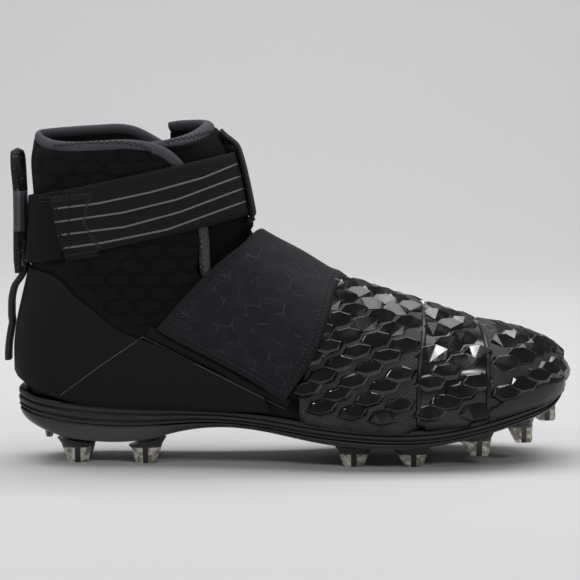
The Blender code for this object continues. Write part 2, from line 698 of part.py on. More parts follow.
def make_binding(last, finish):
    places = edge_line(last)
    points = np.array([last.point(s, share, -UPPER_WALL / 2) for s, share in places])
    normals = np.array([last.normal(s, share) for s, share in places])
    tangents = np.gradient(points, axis=0)
    tangents /= np.linalg.norm(tangents, axis=1, keepdims=True)
    sides = np.cross(tangents, normals)
    sides /= np.linalg.norm(sides, axis=1, keepdims=True)
    top = len(points) // 2
    if sides[top][2] < 0:
        sides = -sides
    reach = BINDING_RADIUS + 2 * LAID_CLEARANCE
    centres = points + sides * reach
    wide = np.full(len(points), BINDING_RADIUS)
    deep = np.full(len(points), UPPER_WALL / 2 + 0.0002)
    return tube("collar_binding", centres, sides, normals, wide, deep, finish, around=6)


TONGUE_COLUMNS = (
    # share of the throat's half width, how far it has risen from under the flap to the flap's own level
    (0.00, 1.0),
    (0.30, 1.0),
    (0.55, 1.0),
    (0.82, 0.0),
    (1.00, 0.0),
    (1.22, 0.0),
)


def tongue_depth(section, risen):
    """How far the tongue's face lies inside the last. It rises only above the midfoot strap."""
    under = UPPER_WALL + LAID_CLEARANCE * (1 + 2 * (1 - smooth_step(section, 12.6, 14.0)))
    level = LAID_CLEARANCE
    return under + (level - under) * risen * smooth_step(section, 12.6, 14.0)


def tongue_reach(section, sign):
    """The throat's share that the tongue's columns are counted in."""
    throat = throat_share(max(section, THROAT_END), sign)
    if sign > 0 or section < TONGUE_NARROWS:
        return throat
    start = throat_share(TONGUE_NARROWS, sign)
    return start + (TONGUE_TOP_SHARE - start) * smooth_step(section, TONGUE_NARROWS, COLLAR)


def make_tongue(last, finish):
    stations = np.concatenate([[10.6, 11.2, 11.8, 12.6, 13.4, 14.2], np.linspace(15.5, 22, 6), [22.6, COLLAR]])
    points = []
    for section in stations:
        line = []
        for sign in (1, -1):
            throat = tongue_reach(section, sign)
            columns = TONGUE_COLUMNS[::-1] if sign == 1 else TONGUE_COLUMNS[1:]
            for share, risen in columns:
                line.append(last.point(section, sign * share * throat, -tongue_depth(section, risen)))
        points.append(line)
    points = np.array(points)
    # The last's front edge is uneven where the throat begins, so the middle of the tongue runs straight there.
    middle = len(TONGUE_COLUMNS) - 1
    uneven = (stations > TONGUE_STRAIGHT[0]) & (stations < TONGUE_STRAIGHT[1])
    for column in (middle - 1, middle, middle + 1):
        for axis in range(3):
            points[uneven, column, axis] = np.interp(
                stations[uneven], stations[~uneven], points[~uneven, column, axis])
    tongue = grid_object("tongue", points, finish)
    return thicken(face_out(tongue, last), TONGUE_THICKNESS, -1)


def make_tongue_tab(last, finish):
    """The rolled knit edge on the tongue's top, thickest in the middle."""
    signed = [(1, *row) for row in TONGUE_COLUMNS[::-1]] + [(-1, *row) for row in TONGUE_COLUMNS[1:]]
    shares = np.array([sign * share * tongue_reach(COLLAR, sign) for sign, share, _ in signed])
    depths = np.array([tongue_depth(COLLAR, risen) for _, _, risen in signed]) + TONGUE_THICKNESS / 2
    fine = np.linspace(shares[0], shares[-1], 15)
    depths = np.interp(-fine, -shares, depths)
    points = np.array([last.point(COLLAR, share, -depth) for share, depth in zip(fine, depths)])
    normals = np.array([last.normal(COLLAR, share) for share in fine])
    ups = np.array([last.point(COLLAR, s) - last.point(COLLAR - 0.3, s) for s in fine])
    ups /= np.linalg.norm(ups, axis=1, keepdims=True)
    swell = np.array([1 - smooth_step(abs(share) / fine[0], 0.35, 0.75) for share in fine])
    high = 0.0016 + 0.0020 * swell
    deep = 0.0013 + 0.0010 * swell
    centres = points + ups * (high + 2.6 * LAID_CLEARANCE)[:, None]
    return tube("tongue_tab", centres, ups, normals, high, deep, finish)


def make_insole(last, finish):
    stations = np.concatenate([[2.4], np.linspace(3, 11, 11)[:-1], [11, 11.7, 12.3, 13, 13.35]])
    points = []
    for section in stations:
        offset = -(UPPER_WALL + 2 * LAID_CLEARANCE * (1 + 1.3 * smooth_step(section, 12, 13.2)))
        wide = margin_share(last, section) - 0.045 + 0.045 * smooth_step(section, 12, 13.35)
        shares = np.linspace(wide, 2 - wide, 9)
        points.append([last.point(section, share, offset) for share in shares])
    insole = grid_object("insole", points, finish)
    return thicken(face_out(insole, last), INSOLE_THICKNESS, -1)


def make_lasting_board(last, finish):
    stations = np.concatenate([[MARGIN_FROM + 0.12], np.linspace(3.8, 11, 10)[:-1], [11, 12, MARGIN_TO - 0.1]])
    points = []
    for section in stations:
        edge = margin_share(last, section) + 0.014
        shares = np.linspace(edge, 2 - edge, 5)
        points.append([last.point(section, share, -LAID_CLEARANCE / 2) for share in shares])
    board = grid_object("lasting_board", points, finish)
    return thicken(face_out(board, last), UPPER_WALL - LAID_CLEARANCE, -1)


def make_armour(last, finish):
    """The moulded scales' carrier over the forefoot, down to the sole's rim. It has the upper's own facets."""
    points = []
    for section in [s for s in UPPER_STATIONS if s < ARMOUR_END] + [ARMOUR_END]:
        columns = upper_columns(last, section)
        half = FRONT_COLUMNS + SIDE_COLUMNS
        around = np.concatenate([columns[half:0:-1], columns[:1], columns[:-half - 1:-1]])
        points.append([last.point(section, share, 1.8 * LAID_CLEARANCE) for share in around])
    armour = grid_object("forefoot_armour", points, finish, cap_start=True)
    return thicken(face_out(armour, last), ARMOUR_THICKNESS, 1)


def make_ankle_strap(last, finish):
    stations = np.linspace(STRAP_LOW, STRAP_HIGH, STRAP_ROWS)
    shares = np.linspace(-1, 1, STRAP_COLUMNS + 1)[:-1]
    points = [[last.point(s, share, LAID_CLEARANCE) for share in shares] for s in stations]
    strap = grid_object("ankle_strap", points, finish, closed_around=True)
    return thicken(face_out(strap, last), ANKLE_STRAP_THICKNESS, 1)


def make_strap_base(last, finish):
    """The smooth panel on the strap's rear, where its two ends are sewn."""
    offset = LAID_CLEARANCE + ANKLE_STRAP_THICKNESS + CLEARANCE
    points = []
    step = 2 / STRAP_COLUMNS
    for share in np.linspace(1 - 4 * step, 1 + 4 * step, 9):
        points.append([last.point(s, share, offset) for s in np.linspace(STRAP_LOW, STRAP_HIGH, STRAP_ROWS)])
    panel = grid_object("ankle_strap_base", points, finish)
    return thicken(face_out(panel, last), STRAP_BASE_THICKNESS, 1)


def make_front_strip(last, finish):
    """The strip down the front of the shaft. It passes over the ankle strap."""
    over = 2 * LAID_CLEARANCE + ANKLE_STRAP_THICKNESS
    points = []
    for section in np.concatenate([[15.0, 16.6, 17.6], np.linspace(18, 21, STRAP_ROWS), [21.4, 22.2, 22.9]]):
        rise = smooth_step(section, 16.6, 17.6) * (1 - smooth_step(section, 21.4, 22.2))
        offset = LAID_CLEARANCE + (over - LAID_CLEARANCE) * rise
        points.append([last.point(section, share, offset) for share in np.linspace(1, -1, 5) * 2 / STRAP_COLUMNS])
    strip = grid_object("front_strip", points, finish)
    return thicken(face_out(strip, last), FRONT_STRIP_THICKNESS, 1)


def heel_x(last, z):
    """Where the heel's back line is at height z."""
    line = np.array([last.point(s, 1.0) for s in np.linspace(13.2, COLLAR, 120)])
    return float(np.interp(z, line[:, 2], line[:, 0]))


def make_heel_band(name, path, finish):
    """A webbing band that follows path, rows of x and z, across the heel's back line."""
    half = WEBBING_WIDTH / 2
    points = [[np.array([x, y, z]) for y in (-half, -half / 3, half / 3, half)] for x, z in path]
    band = grid_object(name, points, finish)
    wall = thicken(band, WEBBING_THICKNESS, 0)
    return wall


def make_heel_pulls(last, webbing, rope, rubber):
    counter = COUNTER_THICKNESS + 2 * LAID_CLEARANCE
    seat = counter + WEBBING_THICKNESS / 2
    for name, table in (("heel_loop", HEEL_LOOP), ("heel_tab", HEEL_TAB)):
        heights = [share * COLLAR_HEIGHT for share, _ in table]
        path = [(heel_x(last, z) - seat - stand, z) for z, (_, stand) in zip(heights, table)]
        make_heel_band(name, path, webbing)

    base = STRAP_BASE_THICKNESS + ANKLE_STRAP_THICKNESS + LAID_CLEARANCE + 2 * CLEARANCE
    radius = CORD_DIAMETER / 2
    x_mid = heel_x(last, SLEEVE_MIDDLE * COLLAR_HEIGHT) - base - radius - SLEEVE_WALL - 4 * CLEARANCE
    end_z = CORD_END * COLLAR_HEIGHT
    end_x = heel_x(last, end_z) - counter - radius - CLEARANCE
    half = [(end_x, -CORD_END_SPREAD * CORD_SPREAD, end_z)]
    half += [(x_mid - back, -spread * CORD_SPREAD, z * COLLAR_HEIGHT) for z, spread, back in CORD_ROUTE]
    knots = np.array(half + [(x, -y, z) for x, y, z in half[-2::-1]])
    table = np.column_stack([np.arange(len(knots)), knots])
    points = curve_through(table, np.linspace(0, len(knots) - 1, 29))
    cord = bpy.data.curves.new("heel_pull_cord", "CURVE")
    cord.dimensions = "3D"
    cord.bevel_depth = radius
    cord.bevel_resolution = 2
    cord.use_fill_caps = True
    line = cord.splines.new("POLY")
    line.points.add(len(points) - 1)
    for spot, place in zip(line.points, points):
        spot.co = (*place, 1)
    cord.materials.append(rope)
    obj = bpy.data.objects.new("heel_pull_cord", cord)
    bpy.context.scene.collection.objects.link(obj)

    bore_y = CORD_SPREAD * SLEEVE_SPREAD + radius + CLEARANCE * 2
    bore_x = radius + CLEARANCE * 2
    rows = []
    middle_z = SLEEVE_MIDDLE * COLLAR_HEIGHT
    for z in np.linspace(middle_z - SLEEVE_HEIGHT / 2, middle_z + SLEEVE_HEIGHT / 2, 4):
        ring = []
        for k in range(20):
            a = 2 * math.pi * k / 20
            c, s = math.cos(a), math.sin(a)
            x = x_mid + bore_x * math.copysign(abs(c) ** 0.8, c)
            y = bore_y * math.copysign(abs(s) ** 0.8, s)
            ring.append(np.array([x, y, z]))
        rows.append(ring)
    sleeve = grid_object("cord_sleeve", rows, rubber, closed_around=True)
    bm = bmesh.new()
    bm.from_mesh(sleeve.data)
    bmesh.ops.recalc_face_normals(bm, faces=bm.faces)
    face = next(f for f in bm.faces)
    centre = np.array([x_mid, 0, 0])
    if np.dot(np.array(face.normal)[:2], (np.array(face.calc_center_median()) - centre)[:2]) < 0:
        bmesh.ops.reverse_faces(bm, faces=bm.faces)
    bm.to_mesh(sleeve.data)
    bm.free()
    thicken(sleeve, SLEEVE_WALL, 1)


def centre_over_origin():
    """Moves every piece and cutter so that the shoe's box, the cord and its sleeve left out, is centred on x = y = 0."""
    bpy.context.view_layer.update()
    graph = bpy.context.evaluated_depsgraph_get()
    corners = []
    for obj in bpy.data.objects:
        if not obj.hide_render and obj.name not in ("heel_pull_cord", "cord_sleeve"):
            corners += [tuple(corner) for corner in obj.evaluated_get(graph).bound_box]
    corners = np.array(corners)
    middle = (corners.min(axis=0) + corners.max(axis=0)) / 2
    for obj in bpy.data.objects:
        obj.location.x -= middle[0]
        obj.location.y -= middle[1]


def main():
    clear_scene()
    knit = material("knit", (0.030, 0.030, 0.032), 0.9)
    fused = material("fused_fabric", (0.012, 0.012, 0.013), 0.7)
    mesh_cloth = material("mesh", (0.010, 0.010, 0.011), 0.9)
    edge_knit = material("edge_knit", (0.075, 0.078, 0.085), 0.9)
    foam = material("foam", (0.02, 0.02, 0.02), 0.8)
    moulded = material("moulded_scales", (0.010, 0.010, 0.010), 0.2)
    elastic = material("elastic", (0.030, 0.030, 0.032), 0.8)
    strap = material("strap_fabric", (0.026, 0.027, 0.032), 0.7)
    plate = material("plate", (0.015, 0.015, 0.015), 0.45)
    smoke = material("smoke_plastic", (0.045, 0.045, 0.048), 0.3)
    stud = material("stud_plastic", (0.35, 0.33, 0.29), 0.2)
    rope = material("rope", (0.030, 0.030, 0.034), 0.9)
    rubber = material("sleeve_rubber", (0.060, 0.060, 0.066), 0.6)
    webbing = material("webbing", (0.025, 0.025, 0.028), 0.7)

    last = Last()
    make_upper(last, knit)
    make_tongue(last, mesh_cloth)
    make_tongue_tab(last, edge_knit)
    make_binding(last, edge_knit)
    make_insole(last, foam)
    make_lasting_board(last, foam)

    outline = sole_outline(last)
    midsole = sole_layer("midsole", outline, layer_levels(outline, MIDSOLE_RIBS, 2, 1), plate)
    space = last_block("last_space", last, LAID_CLEARANCE, plate)
    cut(midsole, space)
    outsole = sole_layer("outsole", outline, layer_levels(outline, OUTSOLE_STEPS, 1, 0, CLEARANCE), smoke)
    cut(outsole, space)
    for row in STUDS:
        make_stud(*row, set_back(outline, OUTSOLE_STEPS[-1][1]), stud)

    def on_wall(section):
        return 2 * LAID_CLEARANCE

    def over_armour(section):
        return 1.6 * LAID_CLEARANCE + (ARMOUR_THICKNESS + 3 * LAID_CLEARANCE) * (1 - smooth_step(section, 9.8, 10.9))

    ribbon("heel_counter", last, HEEL_COUNTER, 29, 5, on_wall, COUNTER_THICKNESS, fused, behind=True)
    make_armour(last, moulded)
    ribbon("midfoot_strap", last, MIDFOOT_STRAP, 19, 8, over_armour, MIDFOOT_STRAP_THICKNESS, strap)
    make_ankle_strap(last, elastic)
    make_strap_base(last, fused)
    make_front_strip(last, fused)
    make_heel_pulls(last, webbing, rope, rubber)
    centre_over_origin()


main()
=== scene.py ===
"""American football cleat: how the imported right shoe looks, built round its own solids.

Metres, in the shoe's frame: the toe points along +X and the outer side of the foot along -Y. The ground is at
z = 0.
"""

import math

import bmesh
import bpy
import numpy as np
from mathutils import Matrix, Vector
from mathutils.bvhtree import BVHTree


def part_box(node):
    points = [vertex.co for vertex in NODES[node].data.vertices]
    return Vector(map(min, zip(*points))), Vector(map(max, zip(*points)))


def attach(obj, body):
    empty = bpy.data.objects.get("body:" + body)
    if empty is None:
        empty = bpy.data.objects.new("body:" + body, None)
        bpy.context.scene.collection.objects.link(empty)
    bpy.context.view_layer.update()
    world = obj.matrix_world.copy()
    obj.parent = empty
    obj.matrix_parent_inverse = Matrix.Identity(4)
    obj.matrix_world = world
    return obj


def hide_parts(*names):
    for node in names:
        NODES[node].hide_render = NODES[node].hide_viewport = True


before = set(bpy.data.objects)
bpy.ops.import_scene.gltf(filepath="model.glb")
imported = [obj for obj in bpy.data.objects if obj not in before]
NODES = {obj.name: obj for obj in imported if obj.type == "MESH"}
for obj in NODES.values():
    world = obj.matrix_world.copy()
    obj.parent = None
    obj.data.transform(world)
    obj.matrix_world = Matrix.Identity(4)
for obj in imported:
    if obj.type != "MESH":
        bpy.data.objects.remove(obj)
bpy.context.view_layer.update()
scene = bpy.context.scene

# The viewpoint. It is the camera's at the end, and places on the sides are told by where it sees them,
# across and down a square picture. The inner side takes the same places from the viewpoint's mirror image.
PICTURE = 580
PICTURE_WIDTH = 0.3234
PIXEL = PICTURE_WIDTH / PICTURE
DISTANCE = 1.200
ELEVATION = math.radians(5.1)
AIM = Vector((0.0015, 0.0, 0.0942))
BACK = Vector((0, -math.cos(ELEVATION), math.sin(ELEVATION)))  # from the shoe to the viewpoint
UP = Vector((0, math.sin(ELEVATION), math.cos(ELEVATION)))
OUTER, INNER = 1, -1


def sight(across, down, side=OUTER):
    """The viewpoint, and the direction in which it sees a place of the picture."""
    eye = AIM + BACK * DISTANCE
    seen = AIM + Vector(((across - PICTURE / 2) * PIXEL, 0, 0)) + UP * (PICTURE / 2 - down) * PIXEL
    if side == INNER:
        eye = Vector((eye.x, -eye.y, eye.z))
        seen = Vector((seen.x, -seen.y, seen.z))
    return eye, (seen - eye).normalized()


def picture_place(point):
    """Where the viewpoint sees a point, across and down, or its mirror image a point of the inner side."""
    away = Vector((point.x, -abs(point.y), point.z)) - (AIM + BACK * DISTANCE)
    off = away * (DISTANCE / -away.dot(BACK)) + BACK * DISTANCE
    return PICTURE / 2 + off.x / PIXEL, PICTURE / 2 - off.dot(UP) / PIXEL


# Upper. A boot of black polyester knit, quilted in soft cells round the ankle. Its lower quarter is fused
# with a smooth film in one piece with the knit, and it is lasted and glued into the sole. It is a smooth
# copy of the frame's solid, as most pieces are.


def colour(code):
    """A linear colour from an sRGB hex code."""
    parts = [int(code[i:i + 2], 16) / 255 for i in (1, 3, 5)]
    return tuple(c / 12.92 if c <= 0.04045 else ((c + 0.055) / 1.055) ** 2.4 for c in parts) + (1.0,)


def add(tree, kind, settings, inputs):
    """A shader node with its settings, its inputs set to a value or linked to a socket."""
    node = tree.nodes.new("ShaderNode" + kind)
    for name, value in settings.items():
        setattr(node, name, value)
    for name, value in inputs.items():
        if isinstance(value, bpy.types.NodeSocket):
            tree.links.new(value, node.inputs[name])
        else:
            node.inputs[name].default_value = value
    return node


def new_material(name, base, roughness, specular=0.5, **constants):
    """A Principled material, its nodes and its shader. constants are further inputs, with _ for a space."""
    made = bpy.data.materials.new(name)
    made.use_nodes = True
    shader = made.node_tree.nodes["Principled BSDF"]
    shader.inputs["Base Color"].default_value = colour(base)
    shader.inputs["Roughness"].default_value = roughness
    shader.inputs["Specular IOR Level"].default_value = specular
    for key, value in constants.items():
        shader.inputs[key.replace("_", " ")].default_value = value
    return made, made.node_tree, shader


def maths(tree, operation, a, b=0.0, c=0.0):
    return add(tree, "Math", {"operation": operation}, {0: a, 1: b, 2: c}).outputs[0]


def vector_maths(tree, operation, *inputs, output=0):
    return add(tree, "VectorMath", {"operation": operation}, dict(enumerate(inputs))).outputs[output]


def ramp(tree, value, low, high, to_low=0.0, to_high=1.0):
    """value taken smoothly from low..high to to_low..to_high."""
    settings = {"interpolation_type": "SMOOTHSTEP"}
    node = add(tree, "MapRange", settings, {0: value, 1: low, 2: high, 3: to_low, 4: to_high})
    return node.outputs[0]


def blend(tree, factor, a, b):
    """A colour from a to b, which are sockets or codes."""
    a, b = (colour(end) if isinstance(end, str) else end for end in (a, b))
    node = add(tree, "Mix", {"data_type": "RGBA"}, {0: factor, 6: a, 7: b})
    return node.outputs[2]


def feed(shader, name, socket):
    """Links a socket to one of the shader's inputs."""
    shader.id_data.links.new(socket, shader.inputs[name])


def paint(shader, factor, a, b):
    """Colours the shader from a to b."""
    feed(shader, "Base Color", blend(shader.id_data, factor, a, b))


def layer_value(tree, name):
    """What a vertex layer of the mesh holds."""
    return add(tree, "Attribute", {"attribute_name": name}, {}).outputs["Fac"]


def inverse(tree, value):
    """1 less a value."""
    return maths(tree, "SUBTRACT", 1.0, value)


def laid_vector(tree, turn=0.0, stretch=(1, 1, 1)):
    """The piece's own laid-out places, in metres, turned and stretched."""
    uv = add(tree, "UVMap", {"uv_map": "laid"}, {})
    turned = add(tree, "Mapping", {}, {"Vector": uv.outputs[0], "Rotation": (0, 0, turn), "Scale": stretch})
    return turned.outputs[0]


def object_vector(tree, stretch=(1, 1, 1)):
    place = add(tree, "TexCoord", {}, {})
    return add(tree, "Mapping", {}, {"Vector": place.outputs["Object"], "Scale": stretch}).outputs[0]


def noise(tree, vector, size, detail=2.0, rough=0.5):
    """Noise whose blobs are about size metres across."""
    inputs = {"Vector": vector, "Scale": 1 / size, "Detail": detail, "Roughness": rough}
    return add(tree, "TexNoise", {}, inputs).outputs[0]


def wandering(tree, vector, scale, reach, lines=None):
    """A vector moved by up to reach by the noise at vector. The one moved is lines, if it is another."""
    wander = add(tree, "TexNoise", {}, {"Vector": vector, "Scale": scale}).outputs["Color"]
    return vector_maths(tree, "MULTIPLY_ADD", wander, reach, vector if lines is None else lines)


def dots(tree, vector, pitch):
    """Distance from a square grid's nearest point, as a share of its pitch."""
    settings = {"feature": "F1", "voronoi_dimensions": "2D"}
    node = add(tree, "TexVoronoi", settings, {"Vector": vector, "Scale": 1 / pitch, "Randomness": 0.0})
    return node.outputs["Distance"]


HEX_HEIGHT = 1.732  # a honeycomb of width 1 repeats at this height


def hexagons(tree, vector, width, height):
    """How far inside a honeycomb's cell a place is: 0 on its edges, 0.5 in its middle."""
    cell = (width, height / HEX_HEIGHT, 1.0)
    unit = vector_maths(tree, "DIVIDE", vector, cell)
    half = (0.5, HEX_HEIGHT / 2, 1.0)
    low = tuple(-h for h in half)
    offsets = []
    for start in ((0.0, 0.0, 0.0), half):
        moved = vector_maths(tree, "ADD", unit, start)
        wrapped = vector_maths(tree, "WRAP", moved, half, low)
        offsets.append(vector_maths(tree, "MULTIPLY", wrapped, (1, 1, 0)))
    lengths = [vector_maths(tree, "LENGTH", offset, output="Value") for offset in offsets]
    nearer = maths(tree, "LESS_THAN", lengths[0], lengths[1])
    own = add(tree, "Mix", {"data_type": "VECTOR"}, {0: nearer, 4: offsets[1], 5: offsets[0]}).outputs[1]
    own = vector_maths(tree, "ABSOLUTE", own)
    slope = vector_maths(tree, "DOT_PRODUCT", own, (0.5, HEX_HEIGHT / 2, 0), output="Value")
    across = add(tree, "SeparateXYZ", {}, {0: own}).outputs[0]
    return maths(tree, "SUBTRACT", 0.5, maths(tree, "MAXIMUM", across, slope))


def bump(shader, height, depth, below=None):
    """Relief of depth metres on the shader, on top of another relief if given."""
    inputs = {"Height": height, "Distance": depth}
    if below is not None:
        inputs["Normal"] = below
    normal = add(shader.id_data, "Bump", {}, inputs).outputs[0]
    feed(shader, "Normal", normal)
    return normal


def from_bmesh(name, bm):
    mesh = bpy.data.meshes.new(name)
    bm.to_mesh(mesh)
    bm.free()
    return mesh


def new_object(name, data):
    made = bpy.data.objects.new(name, data)
    scene.collection.objects.link(made)
    return made


def finish_piece(name, bm, material, stands_for=(), smooth=True):
    """A bmesh as a piece of the shoe, in one material or a list of them."""
    mesh = from_bmesh(name, bm)
    piece = new_object(name, mesh)
    for each in material if isinstance(material, list) else [material]:
        mesh.materials.append(each)
    mesh.polygons.foreach_set("use_smooth", [smooth] * len(mesh.polygons))
    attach(piece, "root")
    if stands_for:
        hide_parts(*stands_for)
    return piece


WELD = 2e-6
FLAT_JOIN, SHAPE_JOIN = math.radians(35), math.radians(70)  # the most that joined triangles differ
SMOOTH_LEVELS = 2


def welded(node):
    bm = bmesh.new()
    bm.from_mesh(NODES[node].data)
    bmesh.ops.remove_doubles(bm, verts=bm.verts, dist=WELD)
    return bm


def solid_copy(node, crease_from=38):
    """The node's surface as a smooth bmesh: its triangles joined, its edges sharper than crease_from kept."""
    bm = welded(node)
    bmesh.ops.join_triangles(
        bm, faces=bm.faces, angle_face_threshold=FLAT_JOIN, angle_shape_threshold=SHAPE_JOIN
    )
    crease = bm.edges.layers.float.new("crease_edge")
    for edge in bm.edges:
        if len(edge.link_faces) == 2 and edge.calc_face_angle(0) > math.radians(crease_from):
            edge[crease] = 1.0
    mesh = from_bmesh(node + "_smooth", bm)
    carrier = new_object(node + "_smooth", mesh)
    surf = carrier.modifiers.new("smooth", "SUBSURF")
    surf.levels = surf.render_levels = SMOOTH_LEVELS
    surf.boundary_smooth = "PRESERVE_CORNERS"
    graph = bpy.context.evaluated_depsgraph_get()
    bm = bmesh.new()
    bm.from_mesh(carrier.evaluated_get(graph).to_mesh())
    bpy.data.objects.remove(carrier)
    bpy.data.meshes.remove(mesh)
    leftover = bm.edges.layers.float.get("crease_edge")
    if leftover:
        bm.edges.layers.float.remove(leftover)
    return bm


def lay_out(bm, place):
    """Gives each vertex a laid-out place, from place(position) to (along, up) in metres."""
    layer = bm.loops.layers.uv.new("laid")
    spots = {v.index: place(v.co) for v in bm.verts}
    for face in bm.faces:
        first = spots[face.verts[0].index]
        for loop in face.loops:
            along, up = spots[loop.vert.index]
            turn = 2 * math.pi * SHAFT_RADIUS
            if abs(along - first[0]) > turn / 2:
                along -= math.copysign(turn, along - first[0])
            loop[layer].uv = (along, up)


CREASE_REACH = 3  # how many widths away a crease is still felt


def crease(bm, tree, places, depth, width, side=OUTER):
    """A soft trough along a line that the viewpoint sees, with a lower ridge on both sides of it."""
    line = np.array([point[:] for point, _ in seen_line(tree, places, step=3, side=side)])
    if not len(line):
        return
    ends = np.minimum(np.arange(len(line)), np.arange(len(line))[::-1]) / max(len(line) / 4, 1)
    fade = np.clip(ends, 0.0, 1.0)
    bm.normal_update()
    moved = []
    for vert in bm.verts:
        away = np.sqrt(((line - np.array(vert.co[:])) ** 2).sum(axis=1))
        near = int(away.argmin())
        u = float(away[near]) / width
        if u < CREASE_REACH:
            fall = (1 - 0.9 * u * u) * math.exp(-u * u) * fade[near]
            moved.append((vert, vert.co - vert.normal * depth * fall))
    for vert, place in moved:
        vert.co = place


def crease_both(bm, table):
    """The creases of a table of (places, depth, width), on both sides."""
    tree = tree_of(bm)
    for side in (OUTER, INNER):
        for places, depth, width in table:
            crease(bm, tree, places, depth, width, side)


def draw_edge(bm, by, over=0.004, near=0.003, top=False):
    """Draws a surface's lower or top edge further, behind what it meets there."""
    places = np.array([v.co[:] for v in bm.verts])
    for vert in bm.verts:
        x, y, z = vert.co
        beside = (abs(places[:, 0] - x) < near) & (places[:, 1] * y > 0)
        if not beside.any():
            continue
        away = places[beside, 2].max() - z if top else z - places[beside, 2].min()
        vert.co.z = z + (by if top else -by) * max(0.0, 1 - away / over)


def at_row(table, x):
    """A table's second column at x along its first."""
    return float(np.interp(x, [row[0] for row in table], [row[1] for row in table]))


def smooth_share(value, low, high):
    u = min(max((value - low) / (high - low), 0.0), 1.0)
    return u * u * (3 - 2 * u)


LEAN_BACK = 0.0040
LEAN_HEIGHTS, LEAN_REAR = (0.138, 0.180), (0.098, 0.130)  # where the lean starts and is full


def lean_back(bm):
    """Moves the rear of the collar back a little, so that it stands upright."""
    for vert in bm.verts:
        share = smooth_share(vert.co.z, *LEAN_HEIGHTS) * smooth_share(-vert.co.x, *LEAN_REAR)
        vert.co.x -= LEAN_BACK * share


SHAFT_RADIUS = 0.040
SHAFT_MIDDLE = (-0.087, 0.0)  # x, y


def round_shaft(co):
    """A place round the upright shaft, from its outer side."""
    angle = math.atan2(co.x - SHAFT_MIDDLE[0], -(co.y - SHAFT_MIDDLE[1]))
    return angle * SHAFT_RADIUS, co.z


def tree_of(bm):
    return BVHTree.FromBMesh(bm)


def face_viewer(normal, direction):
    return normal if normal.dot(direction) < 0 else -normal


def seen_line(tree, places, step=2.0, side=OUTER, lift=0.0):
    """Points and normals on a surface along a line through places of the picture, one each step pixels."""
    found = []
    for (x0, y0), (x1, y1) in zip(places, places[1:]):
        count = max(1, round(math.hypot(x1 - x0, y1 - y0) / step))
        for k in range(count + ((x1, y1) == places[-1])):
            u = k / count
            eye, direction = sight(x0 + (x1 - x0) * u, y0 + (y1 - y0) * u, side)
            point, normal, _, _ = tree.ray_cast(eye, direction)
            if point is not None:
                normal = face_viewer(normal, direction)
                found.append((point + normal * lift, normal))
    return found


# Knitted polyester, quilted: matt, with small holes and soft cells. The holes are drawn coarser than real.
# Painted shade darkens each cell towards its sunken edge.
knit, tree, shader = new_material("black quilted knit", "#1c1c1e", 0.9, specular=0.15)
laid = laid_vector(tree)
cells = hexagons(tree, wandering(tree, laid, 45.0, (0.007, 0.004, 0)), 0.0165, 0.0150)
quilt = ramp(tree, cells, 0.0, 0.22)
grid = dots(tree, laid_vector(tree, turn=0.9, stretch=(1, 0.7, 1)), 0.00125)
holes = ramp(tree, grid, 0.25, 0.55, 1, 0)
patch = noise(tree, object_vector(tree), 0.030)
thread = blend(tree, holes, "#1f1f21", "#0b0b0c")
thread = blend(tree, maths(tree, "MULTIPLY", patch, 0.5), thread, "#141416")
quarter = layer_value(tree, "quarter")
knitted = inverse(tree, quarter)
# Painted shade: the knit turns darker towards each quilted cell's sunken edge.
knit_with_painted_shade = blend(tree, quilt, "#0f0f10", thread)
paint(shader, quarter, knit_with_painted_shade, "#1a1a1b")
deep = bump(shader, maths(tree, "MULTIPLY", quilt, knitted), 0.0005)
raised = maths(tree, "MULTIPLY", inverse(tree, holes), knitted)
bump(shader, raised, 0.00018, below=deep)

# Cloth under a thin pressed film: smooth and nearly matt, with a few specks of dust.
fused, tree, shader = new_material("smooth fused cloth", "#151516", 0.75, specular=0.2)
weave = noise(tree, object_vector(tree, (1, 1, 3)), 0.0006, 1.0)
dust = ramp(tree, noise(tree, object_vector(tree), 0.0021, 4.0, 0.7), 0.66, 0.78)
paint(shader, dust, "#161617", "#222223")
bump(shader, weave, 0.00009)

KNIT_CREASES = (
    # places of a trough as the viewpoint sees it, depth, width
    (((58, 186), (84, 174), (114, 170)), 0.0010, 0.0034),
    (((96, 160), (122, 158), (142, 166)), 0.0006, 0.0030),
    (((116, 266), (138, 284), (150, 308)), 0.0009, 0.0040),
    (((166, 258), (180, 286), (178, 316)), 0.0007, 0.0034),
    (((88, 272), (104, 296), (128, 320)), 0.0008, 0.0036),
)
QUARTER_TOP = (
    # the top of the fused quarter: across and down the picture
    (20, 264), (71, 264), (80, 284), (100, 307), (120, 322), (143, 337), (190, 361), (285, 409), (400, 430),
)
upper_bm = solid_copy("upper")
draw_edge(upper_bm, by=0.0016, top=True)
crease_both(upper_bm, KNIT_CREASES)
quarter_layer = upper_bm.verts.layers.float.new("quarter")
for vert in upper_bm.verts:
    across, down = picture_place(vert.co)
    vert[quarter_layer] = float(down > at_row(QUARTER_TOP, across))
lean_back(upper_bm)
lay_out(upper_bm, round_shaft)
finish_piece("upper_knit", upper_bm, knit, ["upper"])

# Tongue and collar edge. The tongue is an open black mesh over foam, sewn in under the flaps. Its top, the
# collar and both flap edges are bound with a rolled grey knit.


def swell(bm, by):
    """Moves a whole surface outwards."""
    bm.normal_update()
    moved = [(v, v.co + v.normal * by) for v in bm.verts]
    for vert, place in moved:
        vert.co = place


